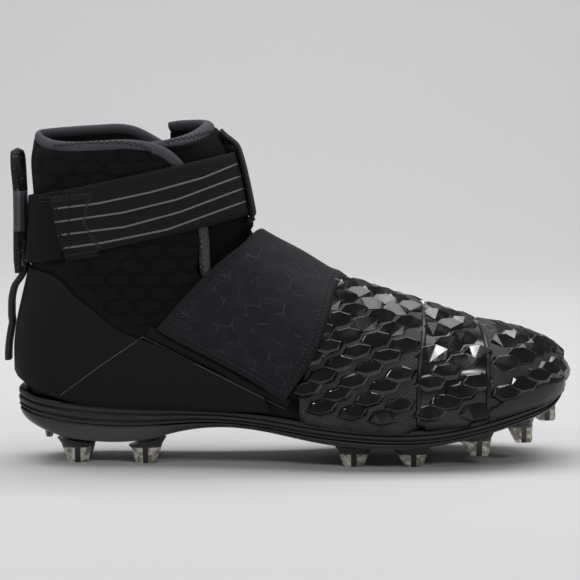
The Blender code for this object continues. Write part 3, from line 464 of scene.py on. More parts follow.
# Woven nylon mesh: matt, with holes 1.5 mm apart that look black.
mesh_cloth, tree, shader = new_material("open black mesh", "#0d0d0e", 0.85, specular=0.1)
net = dots(tree, laid_vector(tree, turn=0.75), 0.00150)
paint(shader, ramp(tree, net, 0.25, 0.55), "#050505", "#19191b")
bump(shader, ramp(tree, net, 0.2, 0.6), 0.0003)
FRONT_BULGE = ((222, 131), (226, 139), (229, 148))  # it fills the tongue out towards the front strip
tongue_bm = solid_copy("tongue")
swell(tongue_bm, by=0.0005)
crease(tongue_bm, tree_of(tongue_bm), FRONT_BULGE, depth=-0.0026, width=0.006)
draw_edge(tongue_bm, by=0.0014, top=True)
lay_out(tongue_bm, round_shaft)
tongue_tree = tree_of(tongue_bm)
finish_piece("tongue_mesh", tongue_bm, mesh_cloth, ["tongue"])

# Knitted grey yarn: matt, with loops 0.9 mm apart in two greys.
edge_knit, tree, shader = new_material("grey rolled knit", "#46474b", 0.9, specular=0.2)
loops = dots(tree, laid_vector(tree, turn=0.8), 0.0009)
paint(shader, ramp(tree, loops, 0.3, 0.6), "#5a5b5f", "#38393c")
bump(shader, ramp(tree, loops, 0.2, 0.6, 1, 0), 0.0002)
binding_trees = {}
for node in ("tongue_tab", "collar_binding"):
    edge_bm = solid_copy(node, crease_from=70)
    swell(edge_bm, by=0.0006)
    lean_back(edge_bm)
    lay_out(edge_bm, round_shaft)
    binding_trees[node] = tree_of(edge_bm)
    finish_piece(node + "_knit", edge_bm, edge_knit, [node])

# Binding seams. Zigzag stitches of bonded black thread that hold the rolled knit edges, sewn by machine
# just inside the edge.


STITCH_LIFT, STITCH_FLATNESS = 0.0001, 0.8


def stitch_row(bm, line, pitch, length, radius, zigzag=0.0):
    """Adds thread stitches along a line of (point, normal). zigzag turns each the other way by that angle."""
    points = [p for p, _ in line]
    steps = [0.0]
    for a, b in zip(points, points[1:]):
        steps.append(steps[-1] + (b - a).length)
    place, turn = pitch / 2, 1
    while place < steps[-1]:
        k = max(i for i, s in enumerate(steps[:-1]) if s <= place)
        u = (place - steps[k]) / max(steps[k + 1] - steps[k], 1e-9)
        centre = points[k].lerp(points[k + 1], u)
        normal = line[k][1].lerp(line[k + 1][1], u).normalized()
        along = (points[k + 1] - points[k]).normalized()
        side = along.cross(normal).normalized()
        direction = along * math.cos(zigzag) + side * math.sin(zigzag) * turn
        across = direction.cross(normal).normalized()
        for vert in bmesh.ops.create_icosphere(bm, subdivisions=1, radius=1.0)["verts"]:
            x, y, z = vert.co
            raised = normal * (STITCH_LIFT + z * radius * STITCH_FLATNESS)
            vert.co = centre + raised + direction * (x * length / 2) + across * (y * radius)
        place += pitch
        turn = -turn


# Bonded nylon thread: black and a little shiny.
black_thread, _, _ = new_material("black thread", "#121213", 0.7)
BINDING_SEAMS = (
    # node, side, places
    ("collar_binding", OUTER, (
        (52, 146), (80, 143), (120, 142), (141, 145), (152, 153), (163, 164), (172, 176),
    )),
    ("collar_binding", OUTER, ((199.5, 238), (201.5, 262), (204, 286))),
    ("collar_binding", INNER, ((52, 146), (80, 143), (120, 142), (135, 146), (150, 156), (170, 176))),
    ("collar_binding", INNER, ((199.5, 238), (201.5, 262), (204, 284))),
    ("tongue_tab", OUTER, ((165, 142), (190, 137), (212, 131))),
)
seams = bmesh.new()
for node, side, places in BINDING_SEAMS:
    line = seen_line(binding_trees[node], places, side=side)
    if len(line) > 2:
        stitch_row(seams, line, pitch=0.0016, length=0.0030, radius=0.00035, zigzag=0.95)
finish_piece("binding_seams", seams, black_thread)

# Insole and lasting board. The insole is foam with a smooth cloth on it and lies loose in the shoe. The
# board under it closes the upper and is glued to the sole. Both keep the frame's own solids.

for node in ("insole", "lasting_board"):
    NODES[node].data.materials.clear()
    NODES[node].data.materials.append(fused)

# Heel counter. A stiff panel round the heel under the same smooth film as the quarter, pressed on with
# heat. Thin raised seams run where the panels of the quarter meet.


def lines_on(tree, table, step=2.0):
    """The lines of a table of places, seen on a surface's outer side and then on its inner side."""
    lines = [seen_line(tree, places, step, side) for side in (OUTER, INNER) for places in table]
    return [line for line in lines if len(line) > 2]


BEAD_SIDES = 6


def sweep(bm, line, half_width, height):
    """Adds a bead along a line of (point, normal)."""
    rings = []
    last = len(line) - 1
    for k, (point, normal) in enumerate(line):
        along = (line[min(k + 1, last)][0] - line[max(k - 1, 0)][0]).normalized()
        side = along.cross(normal).normalized()
        ring = []
        for j in range(BEAD_SIDES):
            a = 2 * math.pi * j / BEAD_SIDES
            ring.append(bm.verts.new(point + side * half_width * math.cos(a) + normal * height * math.sin(a)))
        rings.append(ring)
    for ring, following in zip(rings, rings[1:]):
        for j in range(BEAD_SIDES):
            m = (j + 1) % BEAD_SIDES
            bm.faces.new((ring[j], ring[m], following[m], following[j]))
    bm.faces.new(rings[0][::-1])
    bm.faces.new(rings[-1])


counter_bm = solid_copy("heel_counter")
draw_edge(counter_bm, by=0.0028)
finish_piece("heel_counter_cloth", counter_bm, fused, ["heel_counter"])
body_bm = bmesh.new()
for name in ("upper_knit", "heel_counter_cloth"):
    body_bm.from_mesh(bpy.data.objects[name].data)
body_tree = tree_of(body_bm)
body_bm.free()

SEAM_LINES = (
    # places of the thin seams across the quarter's cloth
    ((143, 337), (190, 361), (240, 386.5), (285, 409)),
    ((143, 337), (100, 366), (60, 395.5)),
)
# Pressed tape: dull grey, painted lighter as the highlight that the raised seam catches.
seam_highlight_grey, _, _ = new_material("grey seam with painted highlight", "#48484a", 0.7)
seams = bmesh.new()
for line in lines_on(body_tree, SEAM_LINES, step=4):
    sweep(seams, line, half_width=0.00030, height=0.00024)
finish_piece("quarter_seams", seams, seam_highlight_grey)

# Forefoot armour. A moulded skin over the toes, lasted with the upper. To place its pieces its surface is
# laid out flat, by rays from a line inside the toe box. u runs along the foot, and s round it from the
# ridge, positive on the outer side, both in metres.

AXIS_REAR, AXIS_FRONT = Vector((0.000, 0.002, 0.058)), Vector((0.120, 0.006, 0.052))
FAN_RADIUS, FAN_TURN = 0.034, math.radians(86)
U_REAR, U_BEND = 0.0065, 0.120
REAR_SLANT = 0.0165  # how much further forward the ridge is than the sole, at the rear
U_TIP = U_BEND + FAN_RADIUS * FAN_TURN
RAY_START = 0.09  # how far out the rays back to the line start


class Wrap:
    """A surface round the forefoot's inner line, laid out flat."""

    def __init__(self, surface):
        self.u = np.linspace(U_REAR, U_TIP, 64)
        angles = np.linspace(0, math.radians(126), 43)
        self.rows = {OUTER: [], INNER: []}
        for u in self.u:
            for side in (OUTER, INNER):
                hits = [self.ray(surface, u, -side * a) for a in angles]
                points = np.array([hit for hit in hits if hit is not None])
                steps = np.linalg.norm(np.diff(points, axis=0), axis=1)
                self.rows[side].append((np.concatenate([[0], np.cumsum(steps)]), points))

    def ray(self, surface, u, angle):
        share = (min(u, U_BEND) - AXIS_REAR.x) / (AXIS_FRONT.x - AXIS_REAR.x)
        slant = REAR_SLANT * max(math.cos(angle), 0) * (1 - (min(u, U_BEND) - U_REAR) / (U_BEND - U_REAR))
        start = AXIS_REAR.lerp(AXIS_FRONT, share) + Vector((slant, 0, 0))
        fan = max(u - U_BEND, 0) / FAN_RADIUS
        round_line = Vector((0, math.sin(angle), math.cos(angle)))
        out = round_line * math.cos(fan) + Vector((1, 0, 0)) * math.sin(fan)
        point, _, _, _ = surface.ray_cast(start + out * RAY_START, -out, RAY_START * 0.98)
        return None if point is None else np.array(point)

    def edge(self, u, side):
        """How far round the surface reaches at u."""
        return float(np.interp(u, self.u, [row[0][-1] for row in self.rows[side]]))

    def point(self, u, s):
        side = OUTER if s >= 0 else INNER
        place = min(max((u - self.u[0]) / (self.u[-1] - self.u[0]), 0), 1) * (len(self.u) - 1)
        k = min(int(place), len(self.u) - 2)
        ends = []
        for row in (k, k + 1):
            arcs, points = self.rows[side][row]
            reach = min(abs(s), arcs[-1])
            ends.append(np.array([np.interp(reach, arcs, points[:, c]) for c in range(3)]))
        return Vector(ends[0] * (k + 1 - place) + ends[1] * (place - k))

    def frame_at(self, u, s, step=0.0015):
        """The point, and the directions along u, along s and outwards there."""
        along = (self.point(min(u + step, U_TIP), s) - self.point(u - step, s)).normalized()
        around = self.point(u, s + step) - self.point(u, s - step)
        around = (around - along * around.dot(along)).normalized()
        out = along.cross(around)
        point = self.point(u, s)
        centre = AXIS_REAR.lerp(AXIS_FRONT, min(max(point.x / AXIS_FRONT.x, 0), 1))
        if out.dot(point - centre) < 0:
            out = -out
        return point, along, around, out


armour_bm = solid_copy("forefoot_armour")
armour_tree = tree_of(armour_bm)
armour_bm.free()
wrap = Wrap(armour_tree)

# The armour's carrier. Dark mesh with light dots, which carries the moulded scales. Between the two flex
# strips and along the sole a glossy film covers it.

FLEX_STRIPS = (
    # u at the ridge, 20 mm round, 45 mm round and at the sole
    (0.0655, 0.0688, 0.0712, 0.0705),
    (0.1035, 0.1062, 0.1085, 0.1085),
)
FLEX_ROUND = (0.0, 0.020, 0.045, 0.090)
RAND = (
    # x, height of the smooth toe rand's top
    (0.098, 0.024),
    (0.106, 0.031),
    (0.119, 0.039),
    (0.130, 0.0445),
    (0.141, 0.0475),
    (0.160, 0.0480),
)
SIDE_BAND = (
    # x, height of the film band's top along the sole
    (0.000, 0.022),
    (0.030, 0.018),
    (0.062, 0.018),
    (0.072, 0.027),
    (0.098, 0.030),
    (0.106, 0.031),
)


def flex_u(strip, s):
    return float(np.interp(abs(s), FLEX_ROUND, FLEX_STRIPS[strip]))


def film_at(u, s, point):
    if flex_u(0, s) < u < flex_u(1, s):
        return 1.0
    if point.z < at_row(SIDE_BAND, point.x) or point.z < at_row(RAND, point.x) and point.x > RAND[0][0]:
        return 1.0
    return 0.0


# Nylon mesh, woven: dark with light dots 1.15 mm apart. The film over it is glossy and hides them.
armour_cloth, tree, shader = new_material("dotted mesh under film", "#121212", 0.5)
weft = dots(tree, laid_vector(tree, turn=0.62), 0.00115)
film = layer_value(tree, "film")
speck = maths(tree, "MULTIPLY", ramp(tree, weft, 0.18, 0.34, 1, 0), inverse(tree, film))
tone = noise(tree, laid_vector(tree), 0.012)
light = blend(tree, ramp(tree, tone, 0.3, 0.7), "#353534", "#6a6a67")
paint(shader, speck, "#111112", light)
feed(shader, "Roughness", ramp(tree, film, 0, 1, 0.55, 0.16))
bump(shader, speck, 0.00025)


def add_wall(piece, thickness, offset=0):
    """Gives a sheet its thickness, half to each side or with offset -1 all inwards."""
    wall = piece.modifiers.new("wall", "SOLIDIFY")
    wall.thickness = thickness
    wall.offset = offset


def join_rows(bm, rows):
    """Faces between rows of as many vertices."""
    faces = []
    for a, b in zip(rows, rows[1:]):
        for k in range(len(a) - 1):
            faces.append(bm.faces.new((a[k], b[k], b[k + 1], a[k + 1])))
    return faces


SKIN_ROWS, SKIN_COLUMNS = 90, 68
TUCK = 0.0042  # how far the skin runs on behind the sole's rim
skin = bmesh.new()
skin_uv = skin.loops.layers.uv.new("laid")
film_layer = skin.verts.layers.float.new("film")
grid, places = [], {}
for u in np.linspace(U_REAR, U_TIP, SKIN_ROWS):
    row = []
    outer, inner = wrap.edge(u, OUTER), wrap.edge(u, INNER)
    for s in [outer + TUCK] + list(np.linspace(outer, -inner, SKIN_COLUMNS - 2)) + [-inner - TUCK]:
        point = wrap.point(u, s)
        beyond = abs(s) - (outer if s > 0 else inner)
        if beyond > 1e-6:
            point += (point - wrap.point(u, math.copysign(abs(s) - beyond - 0.002, s))).normalized() * beyond
        vert = skin.verts.new(point)
        vert[film_layer] = film_at(u, s, point)
        places[vert] = (u, s)
        row.append(vert)
    grid.append(row)
for face in join_rows(skin, grid):
    for loop in face.loops:
        loop[skin_uv].uv = places[loop.vert]
bmesh.ops.remove_doubles(skin, verts=skin.verts, dist=1e-6)
bmesh.ops.recalc_face_normals(skin, faces=skin.faces)
skin_piece = finish_piece("forefoot_mesh", skin, armour_cloth, ["forefoot_armour"])
add_wall(skin_piece, 0.0012, offset=-1)

# Moulded scales. Long lozenges of hard polyurethane in staggered rows, moulded onto the carrier. Each has a
# flat glossy face that its lower lip lifts.

SCALE_PITCH = (0.0166, 0.0083)  # along the foot, and round it between rows
SCALE_LEAN = math.radians(17)
SCALE_RING = (
    # along and across, as shares of a scale's room: one pitch along and two rows across
    (-0.55, -0.11), (-0.12, -0.28), (0.34, -0.20), (0.55, 0.11), (0.12, 0.28), (-0.34, 0.20),
)
SCALE_FACE = (0.78, 0.64)  # the flat face's length and width as shares of the ring's
SCALE_ROOT, SCALE_FOOT, SCALE_MIDDLE = -0.0008, 0.0004, 0.0017  # heights of the ring's ends and of the face
SCALE_TILT = 0.0011
SCALE_TWIST, SCALE_LIFT = 0.0009, 0.0008  # the scattered part of its tilt along, and of its height
SCALE_BEVEL = 0.00018
SCALE_CLEAR = 0.0052  # from a flex strip to the nearest scales' middles


def scatter(*keys):
    """A number from 0 to 1 that is the same each time for the same keys."""
    value = math.sin(sum(k * f for k, f in zip(keys, (12.9898, 78.233, 37.719)))) * 43758.5453
    return value - math.floor(value)


def scale_fits(u, s, point):
    table = RAND if point.x > RAND[0][0] else SIDE_BAND
    if point.z < at_row(table, point.x) + 0.001:
        return False
    return min(abs(u - flex_u(strip, s)) for strip in (0, 1)) > SCALE_CLEAR


def add_scale(bm, u, s, size, lean, key):
    point, along, around, out = wrap.frame_at(u, s)
    up = -around if s >= 0 else around
    along_lean = along * math.cos(lean) + up * math.sin(lean)
    up_lean = up * math.cos(lean) - along * math.sin(lean)
    room_along, room_up = along_lean * SCALE_PITCH[0] * size, up_lean * 2 * SCALE_PITCH[1] * size
    # Faces that look up tip towards the side, and stay dark.
    swing = max(-1.35, 0.7 - 3.2 * max(out.z, 0.0))
    twist = SCALE_TWIST * (scatter(key, 1) - 0.5)
    lift = SCALE_LIFT * (scatter(key, 2) - 0.4)
    verts = []
    for k, (a, b) in enumerate(SCALE_RING):
        away = room_along * a + room_up * b
        bend = away.length**2 * 8
        for height in (SCALE_ROOT, SCALE_FOOT):
            verts.append(bm.verts.new(point + away + out * (height - bend)))
        long, wide = (share + 0.10 * (scatter(key, k, 3) - 0.5) for share in SCALE_FACE)
        away = room_along * a * long + room_up * b * wide
        height = SCALE_MIDDLE - SCALE_TILT * swing * b / 0.3 + lift + twist * a / 0.5
        verts.append(bm.verts.new(point + away + up_lean * 0.0004 + out * (height - bend * 0.5)))
    hull = bmesh.ops.convex_hull(bm, input=verts)
    inside = [v for v in hull["geom_interior"] if isinstance(v, bmesh.types.BMVert)]
    bmesh.ops.delete(bm, geom=inside, context="VERTS")


SCALE_ROWS, SCALE_COLUMNS = 13, 11  # rows on each side of the ridge
scales = bmesh.new()
for side in (OUTER, INNER):
    for row in range(SCALE_ROWS):
        s = side * (row + 0.5) * SCALE_PITCH[1]
        stagger = (row % 2) * 0.5
        for column in range(SCALE_COLUMNS):
            u = U_REAR + (column + stagger + 0.25) * SCALE_PITCH[0]
            if u > U_TIP - 0.004 or abs(s) > wrap.edge(u, side) + 0.001:
                continue
            if not scale_fits(u, s, wrap.point(u, s)):
                continue
            size = (1.04 if u < flex_u(0, s) else 1.16) * (0.95 + 0.10 * scatter(row, column))
            add_scale(scales, u, s, size, SCALE_LEAN, row * 31 + column * 7 + side)
bmesh.ops.recalc_face_normals(scales, faces=scales.faces)
bmesh.ops.bevel(scales, geom=list(scales.edges), offset=SCALE_BEVEL, segments=1, affect="EDGES", profile=0.5)

# Moulded polyurethane: glossy, so that each face is either bright or nearly black.
gloss, tree, shader = new_material("glossy moulded black", "#101011", 0.16, Coat_Weight=0.4)
shader.inputs["Coat Roughness"].default_value = 0.06
wear = noise(tree, object_vector(tree), 0.009, 3.0)
feed(shader, "Roughness", ramp(tree, wear, 0.35, 0.7, 0.07, 0.26))
paint(shader, wear, "#0a0a0b", "#151516")
finish_piece("forefoot_scales", scales, gloss, smooth=False)

# Toe rand. A smooth band of satin rubber glued round the toe above the sole. It is laid on the armour by
# level rays from a post inside the toe.

RAND_POST = Vector((0.100, 0.003, 0.0))
RAND_LIFT = 0.0011
RAND_NEAR = 0.030  # hits nearer to the post are inside the toe
RAND_TURN, RAND_HEIGHTS = math.radians(84), (0.014, 0.050)
RAND_COLUMNS, RAND_RAYS, RAND_ROWS = 61, 37, 9
rand = bmesh.new()
rows = []
for turn in np.linspace(-RAND_TURN, RAND_TURN, RAND_COLUMNS):
    heading = Vector((math.cos(turn), math.sin(turn), 0))
    found = []
    for z in np.linspace(*RAND_HEIGHTS, RAND_RAYS):
        point, normal, _, _ = armour_tree.ray_cast(RAND_POST + Vector((0, 0, z)) + heading * 0.12, -heading)
        if point is not None and (point - RAND_POST).xy.dot(heading.xy) > RAND_NEAR:
            found.append((point, face_viewer(normal, -heading)))
    top = [k for k, (point, _) in enumerate(found) if point.z < at_row(RAND, point.x)]
    found = found[:max(top) + 1] if top else []
    if len(found) < 4:
        continue
    row = []
    for share in np.linspace(0, 1, RAND_ROWS):
        point, normal = found[round(share * (len(found) - 1))]
        lift = RAND_LIFT * (1 - smooth_share(share, 0.86, 1.0)) + 0.0002
        row.append(rand.verts.new(point + normal * lift))
    low = row[0].co
    rows.append([rand.verts.new(low - Vector((heading.x * 0.001, heading.y * 0.001, TUCK)))] + row)
join_rows(rand, rows)
bmesh.ops.recalc_face_normals(rand, faces=rand.faces)
inside = [v for v in rand.verts if not v.is_boundary]
for _ in range(2):
    bmesh.ops.smooth_vert(rand, verts=inside, factor=0.5, use_axis_x=True, use_axis_y=True, use_axis_z=True)
# Moulded rubber: satin black.
rand_rubber, _, _ = new_material("satin toe rand", "#161617", 0.38)
add_wall(finish_piece("toe_rand", rand, rand_rubber), 0.0006, offset=-1)

# Flex strips. Two narrow beads of black rubber, moulded across the armour where the toes bend. They run from
# the sole on one side to the sole on the other.

FLEX_ENDS = (0.070, 0.107)  # u of the strips' ends
strips = bmesh.new()
for strip, u in enumerate(FLEX_ENDS):
    line = []
    for s in np.linspace(wrap.edge(u, OUTER) - 0.001, 0.001 - wrap.edge(u, INNER), 60):
        point, _, _, out = wrap.frame_at(flex_u(strip, s), s)
        line.append((point, out))
    sweep(strips, line, half_width=0.0014, height=0.0018)
# Moulded rubber: black and a little glossy.
flex_rubber, _, _ = new_material("black flex strip", "#0b0b0c", 0.35)
finish_piece("flex_strips", strips, flex_rubber)

# Midfoot strap. Coated charcoal cloth over foam, embossed with irregular cells inside a border with two
# rows of stitches. It comes over the instep from the inner side and ends on the outer side.

RIM_ANGLE = math.radians(55)


def inset_layer(bm):
    """A vertex layer of the distance from the piece's sharp rim, in metres."""
    rim = set()
    for edge in bm.edges:
        if len(edge.link_faces) == 2 and edge.calc_face_angle(0) > RIM_ANGLE:
            rim.update(edge.verts)
    rim = np.array([v.co[:] for v in rim])
    layer = bm.verts.layers.float.new("inset")
    for vert in bm.verts:
        vert[layer] = float(np.sqrt(((rim - np.array(vert.co[:])) ** 2).sum(axis=1).min()))


FOOT_HEIGHT, FOOT_RADIUS = 0.040, 0.055


def along_foot(co):
    """A place along the foot and round it."""
    return co.x, math.atan2(co.y, co.z - FOOT_HEIGHT) * FOOT_RADIUS


# Coated cloth, embossed: matt charcoal, mottled, with sunken lines about the cells.
strap_cloth, tree, shader = new_material("embossed charcoal strap", "#2b2c30", 0.75, specular=0.2)
inset = layer_value(tree, "inset")
border = ramp(tree, inset, 0.0042, 0.0050, 1, 0)
moved = wandering(tree, laid_vector(tree), 60.0, (0.008, 0.008, 0), laid_vector(tree, 0.30))
cells = hexagons(tree, moved, 0.0128, 0.0128)
gaps = ramp(tree, noise(tree, laid_vector(tree), 0.0065, 1.0), 0.44, 0.64)
line = maths(tree, "MULTIPLY", ramp(tree, cells, 0.015, 0.055, 1, 0), gaps)
line = maths(tree, "MULTIPLY", line, inverse(tree, border))
mottle = ramp(tree, noise(tree, laid_vector(tree), 0.010, 5.0, 0.65), 0.35, 0.7)
ground = blend(tree, mottle, "#1b1c1f", "#242529")
ground = blend(tree, border, ground, "#1e1f22")
paint(shader, line, ground, "#36373b")
pebble = noise(tree, laid_vector(tree), 0.0008, 2.0)
sunk = maths(tree, "MULTIPLY_ADD", line, -0.6, maths(tree, "MULTIPLY", border, -0.8))
deep = bump(shader, sunk, 0.0004)
bump(shader, pebble, 0.00012, below=deep)
STRAP_CREASES = (
    (((262, 262), (286, 262), (312, 276)), 0.0008, 0.0046),
    (((196, 318), (222, 300), (252, 296)), 0.0005, 0.0050),
    (((286, 300), (296, 326), (290, 352)), 0.0006, 0.0050),
)
strap_bm = solid_copy("midfoot_strap")
crease_both(strap_bm, STRAP_CREASES)
lay_out(strap_bm, along_foot)
inset_layer(strap_bm)
strap_tree = tree_of(strap_bm)
finish_piece("midfoot_strap_cloth", strap_bm, strap_cloth, ["midfoot_strap"])

STRAP_SEAMS = (
    # places of the border's two stitch rows as the viewpoint sees them
    ((168, 322), (200, 294), (230, 264), (259, 236)),
    ((174, 325), (205, 297), (235, 268), (262, 241)),
    ((331, 291), (317, 341), (300, 370), (289, 391)),
    ((327, 288), (312, 339), (295, 367), (284, 386)),
    ((168, 326), (210, 351), (250, 374), (288, 396)),
)
# Bonded nylon thread: charcoal, lighter than the cloth.
strap_thread, _, _ = new_material("charcoal strap thread", "#323337", 0.7)
seams = bmesh.new()
for line in lines_on(strap_tree, STRAP_SEAMS, step=3):
    stitch_row(seams, line, pitch=0.0026, length=0.0018, radius=0.00026)
finish_piece("strap_seams", seams, strap_thread)

# Quarter wing. A flat band of the fused cloth below the strap's free edge, on the outer side. It is pressed
# onto the quarter.

WING_LOW = ((145, 336.4), (191, 359.6), (241, 385), (287, 408))
WING_HIGH = ((150, 326), (196, 350), (246, 377), (292, 400))
wing = bmesh.new()
rails = [seen_line(body_tree, places, step=4, lift=0.0004) for places in (WING_LOW, WING_HIGH)]
count = min(len(rail) for rail in rails)
columns = []
for k in range(count):
    low, high = (rail[round(k * (len(rail) - 1) / (count - 1))][0] for rail in rails)
    columns.append([wing.verts.new(low.lerp(high, u)) for u in (0, 0.5, 1)])
join_rows(wing, columns)
add_wall(finish_piece("quarter_wing", wing, fused), 0.0007)

# Ankle strap. Elastic round the shaft with four reflective lines. It is sewn to a smooth panel at the back,
# in zigzags, and runs under a narrow strip at the front. Small gussets join the strip to the tongue.


def ribs(tree, vector, pitch, **constants):
    """Waves along a vector's second axis, pitch metres apart."""
    inputs = {"Vector": vector, "Scale": 0.314 / pitch, **constants}
    return add(tree, "TexWave", {"bands_direction": "Y"}, inputs).outputs["Fac"]


# Woven elastic: matt, with cords along it 1 mm apart, drawn coarser than real.
elastic, tree, shader = new_material("charcoal elastic", "#29292b", 0.85, specular=0.15)
cords = ribs(tree, laid_vector(tree), 0.0010, Distortion=0.5)
paint(shader, cords, "#1a1a1c", "#242426")
bump(shader, cords, 0.00012)
base_bm = solid_copy("ankle_strap_base")
base_tree = tree_of(base_bm)
ankle_bm = solid_copy("ankle_strap")
strap_trees = (base_tree, tree_of(ankle_bm))
# The elastic's rear end is drawn on over the panel, from a slanting line to where the two meet.
END_TOP, END_FOOT, END_JOIN = (49.5, 196.0), (62.5, 258.0), 70.0
END_ROWS, END_COLUMNS = 12, 5
END_RISE, END_STEP = 0.12, 0.0012  # how its rows rise, and how far it stands off the panel
for side in (OUTER, INNER):
    rows = []
    for u in np.linspace(0, 1, END_ROWS):
        down = END_TOP[1] + (END_FOOT[1] - END_TOP[1]) * u
        start = END_TOP[0] + (END_FOOT[0] - END_TOP[0]) * u
        row = []
        for across in np.linspace(start, END_JOIN, END_COLUMNS):
            eye, direction = sight(across, down - (across - start) * END_RISE, side)
            hits = [tree.ray_cast(eye, direction) for tree in strap_trees]
            hits = [hit for hit in hits if hit[0] is not None]
            if hits:
                point, normal, _, _ = min(hits, key=lambda hit: hit[3])
                off = END_STEP * (1 - smooth_share(across, 63, END_JOIN))
                row.append(point - direction * off + face_viewer(normal, direction) * 0.0004)
        if len(row) == END_COLUMNS:
            rows.append([ankle_bm.verts.new(point) for point in row])
    join_rows(ankle_bm, rows)
ankle_bm.verts.index_update()
ankle_bm.normal_update()
lay_out(ankle_bm, round_shaft)
ankle_tree = tree_of(ankle_bm)
finish_piece("ankle_strap_elastic", ankle_bm, elastic, ["ankle_strap"])

# Cloth under a pressed film: smooth and black.
panel_cloth, _, _ = new_material("black strap panel", "#0f0f10", 0.7, specular=0.15)
finish_piece("ankle_strap_panel", base_bm, panel_cloth, ["ankle_strap_base"])
strip_bm = solid_copy("front_strip")
strip_tree = tree_of(strip_bm)
finish_piece("front_strip_cloth", strip_bm, fused, ["front_strip"])

GUSSETS = (
    # places on the tongue, and places on the strip
    (((220, 130), (224, 141), (226, 152)), ((228, 132), (236, 146), (239, 158))),
    (((244, 206), (245, 214), (246, 224)), ((250, 206), (251, 212), (251.6, 217))),
)
gussets = bmesh.new()
for side in (OUTER, INNER):
    for on_tongue, on_strip in GUSSETS:
        near = seen_line(tongue_tree, on_tongue, step=5, side=side)
        far = seen_line(strip_tree, on_strip, step=5, side=side)
        rows = []
        for (a, _), (b, _) in zip(near, far):
            rows.append([gussets.verts.new(a.lerp(b, u)) for u in (0, 0.5, 1)])
        join_rows(gussets, rows)
add_wall(finish_piece("strip_gussets", gussets, panel_cloth), 0.0006)

REFLECTIVE_LINES = (
    ((51, 209.2), (98, 203.5), (151, 192.2), (204, 177.5), (244, 161.0)),
    ((54.7, 222.4), (122.4, 212.7), (177.6, 199.4), (245.5, 174.2)),
    ((58.2, 235.3), (124.5, 227.0), (179.6, 212.2), (248.5, 186.5)),
    ((62.9, 248.4), (102, 242.9), (167.3, 229.6), (251, 199.4)),
)
# Reflective transfer: plain grey, smoother than the elastic.
reflective, _, _ = new_material("grey reflective line", "#6c6d6f", 0.45)
lines = bmesh.new()
for line in lines_on(ankle_tree, REFLECTIVE_LINES, step=4):
    sweep(lines, line, half_width=0.00052, height=0.00018)
finish_piece("reflective_lines", lines, reflective)

ANKLE_ZIGZAGS = (
    ((52, 198), (72, 196), (93, 193.5)),
    ((66, 256), (84, 253.5), (104, 250)),
    ((90, 196), (86, 207), (84, 222), (92, 236), (100, 248)),
)
PANEL_STITCHES = (
    ((38, 198), (49, 197.4)),
    ((38, 202), (49, 201.4)),
)
ROW_DROP = Vector((0, 0, 0.0018))  # from a zigzag down to its second row
seams = bmesh.new()
for line in lines_on(ankle_tree, ANKLE_ZIGZAGS):
    stitch_row(seams, line, pitch=0.0011, length=0.0026, radius=0.00022, zigzag=1.15)
    line = [(point - ROW_DROP, normal) for point, normal in line]
    stitch_row(seams, line, pitch=0.0011, length=0.0022, radius=0.00018, zigzag=1.15)
for line in lines_on(base_tree, PANEL_STITCHES):
    stitch_row(seams, line, pitch=0.0014, length=0.0011, radius=0.0002)
finish_piece("ankle_strap_seams", seams, strap_thread)

# Heel pulls. A loop of braided rope with light flecks, held in a ribbed rubber sleeve, and a band of
# webbing with a tail below it. Their ends are sewn into the heel.

# Braided polyester: matt black with bright flecks.
rope, tree, shader = new_material("speckled black rope", "#161617", 0.85)
braid = add(tree, "TexVoronoi", {}, {"Vector": object_vector(tree, (1, 1, 0.6)), "Scale": 1 / 0.0016})
flecks = ramp(tree, noise(tree, object_vector(tree), 0.0011, 0.0), 0.76, 0.79)
paint(shader, flecks, "#18181a", "#8a8a8c")
bump(shader, braid.outputs["Distance"], 0.0006)

ROPE_HALF = (
    # x, half the spread, z, from the heel up to the top of the loop
    (-0.1482, 0.0078, 0.1045),
    (-0.1490, 0.0068, 0.1111),
    (-0.1494, 0.0045, 0.1190),
    (-0.1494, 0.0035, 0.1265),
    (-0.1493, 0.0034, 0.1364),
    (-0.1494, 0.0035, 0.1500),
    (-0.1498, 0.0043, 0.1560),
    (-0.1502, 0.0057, 0.1620),
    (-0.1505, 0.0048, 0.1680),
    (-0.1507, 0.0028, 0.1703),
)
LOOP_TOP = (-0.1508, 0.1711)  # x, z
ROPE_DIAMETER = 0.0046
MIDDLE_Y = -0.0004
NEARER, STAGGER = 0.0012, 0.0014  # towards the collar, and the outer strand before the inner one
path = [Vector((x + NEARER - STAGGER, MIDDLE_Y - half, z)) for x, half, z in ROPE_HALF]
path += [Vector((LOOP_TOP[0] + NEARER, MIDDLE_Y, LOOP_TOP[1]))]
path += [Vector((x + NEARER + STAGGER, MIDDLE_Y + half, z)) for x, half, z in ROPE_HALF[::-1]]
curve = bpy.data.curves.new("heel_rope", "CURVE")
curve.dimensions = "3D"
curve.bevel_depth = ROPE_DIAMETER / 2
curve.bevel_resolution = 4
curve.use_fill_caps = True
line = curve.splines.new("POLY")
line.points.add(len(path) - 1)
for spot, place in zip(line.points, path):
    spot.co = (*place, 1)
curve.materials.append(rope)
rope_piece = new_object("heel_rope", curve)
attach(rope_piece, "root")
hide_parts("heel_pull_cord")

# Moulded rubber: grey, with ribs 1.2 mm apart.
ribbed, tree, shader = new_material("grey ribbed rubber", "#47484d", 0.5)
waves = ribs(tree, object_vector(tree), 0.0012)
paint(shader, waves, "#35363a", "#505157")
bump(shader, waves, 0.0003)
sleeve_bm = solid_copy("cord_sleeve")
bmesh.ops.translate(sleeve_bm, verts=sleeve_bm.verts, vec=(NEARER, 0, 0))
sleeve = finish_piece("rope_sleeve", sleeve_bm, ribbed, ["cord_sleeve"])

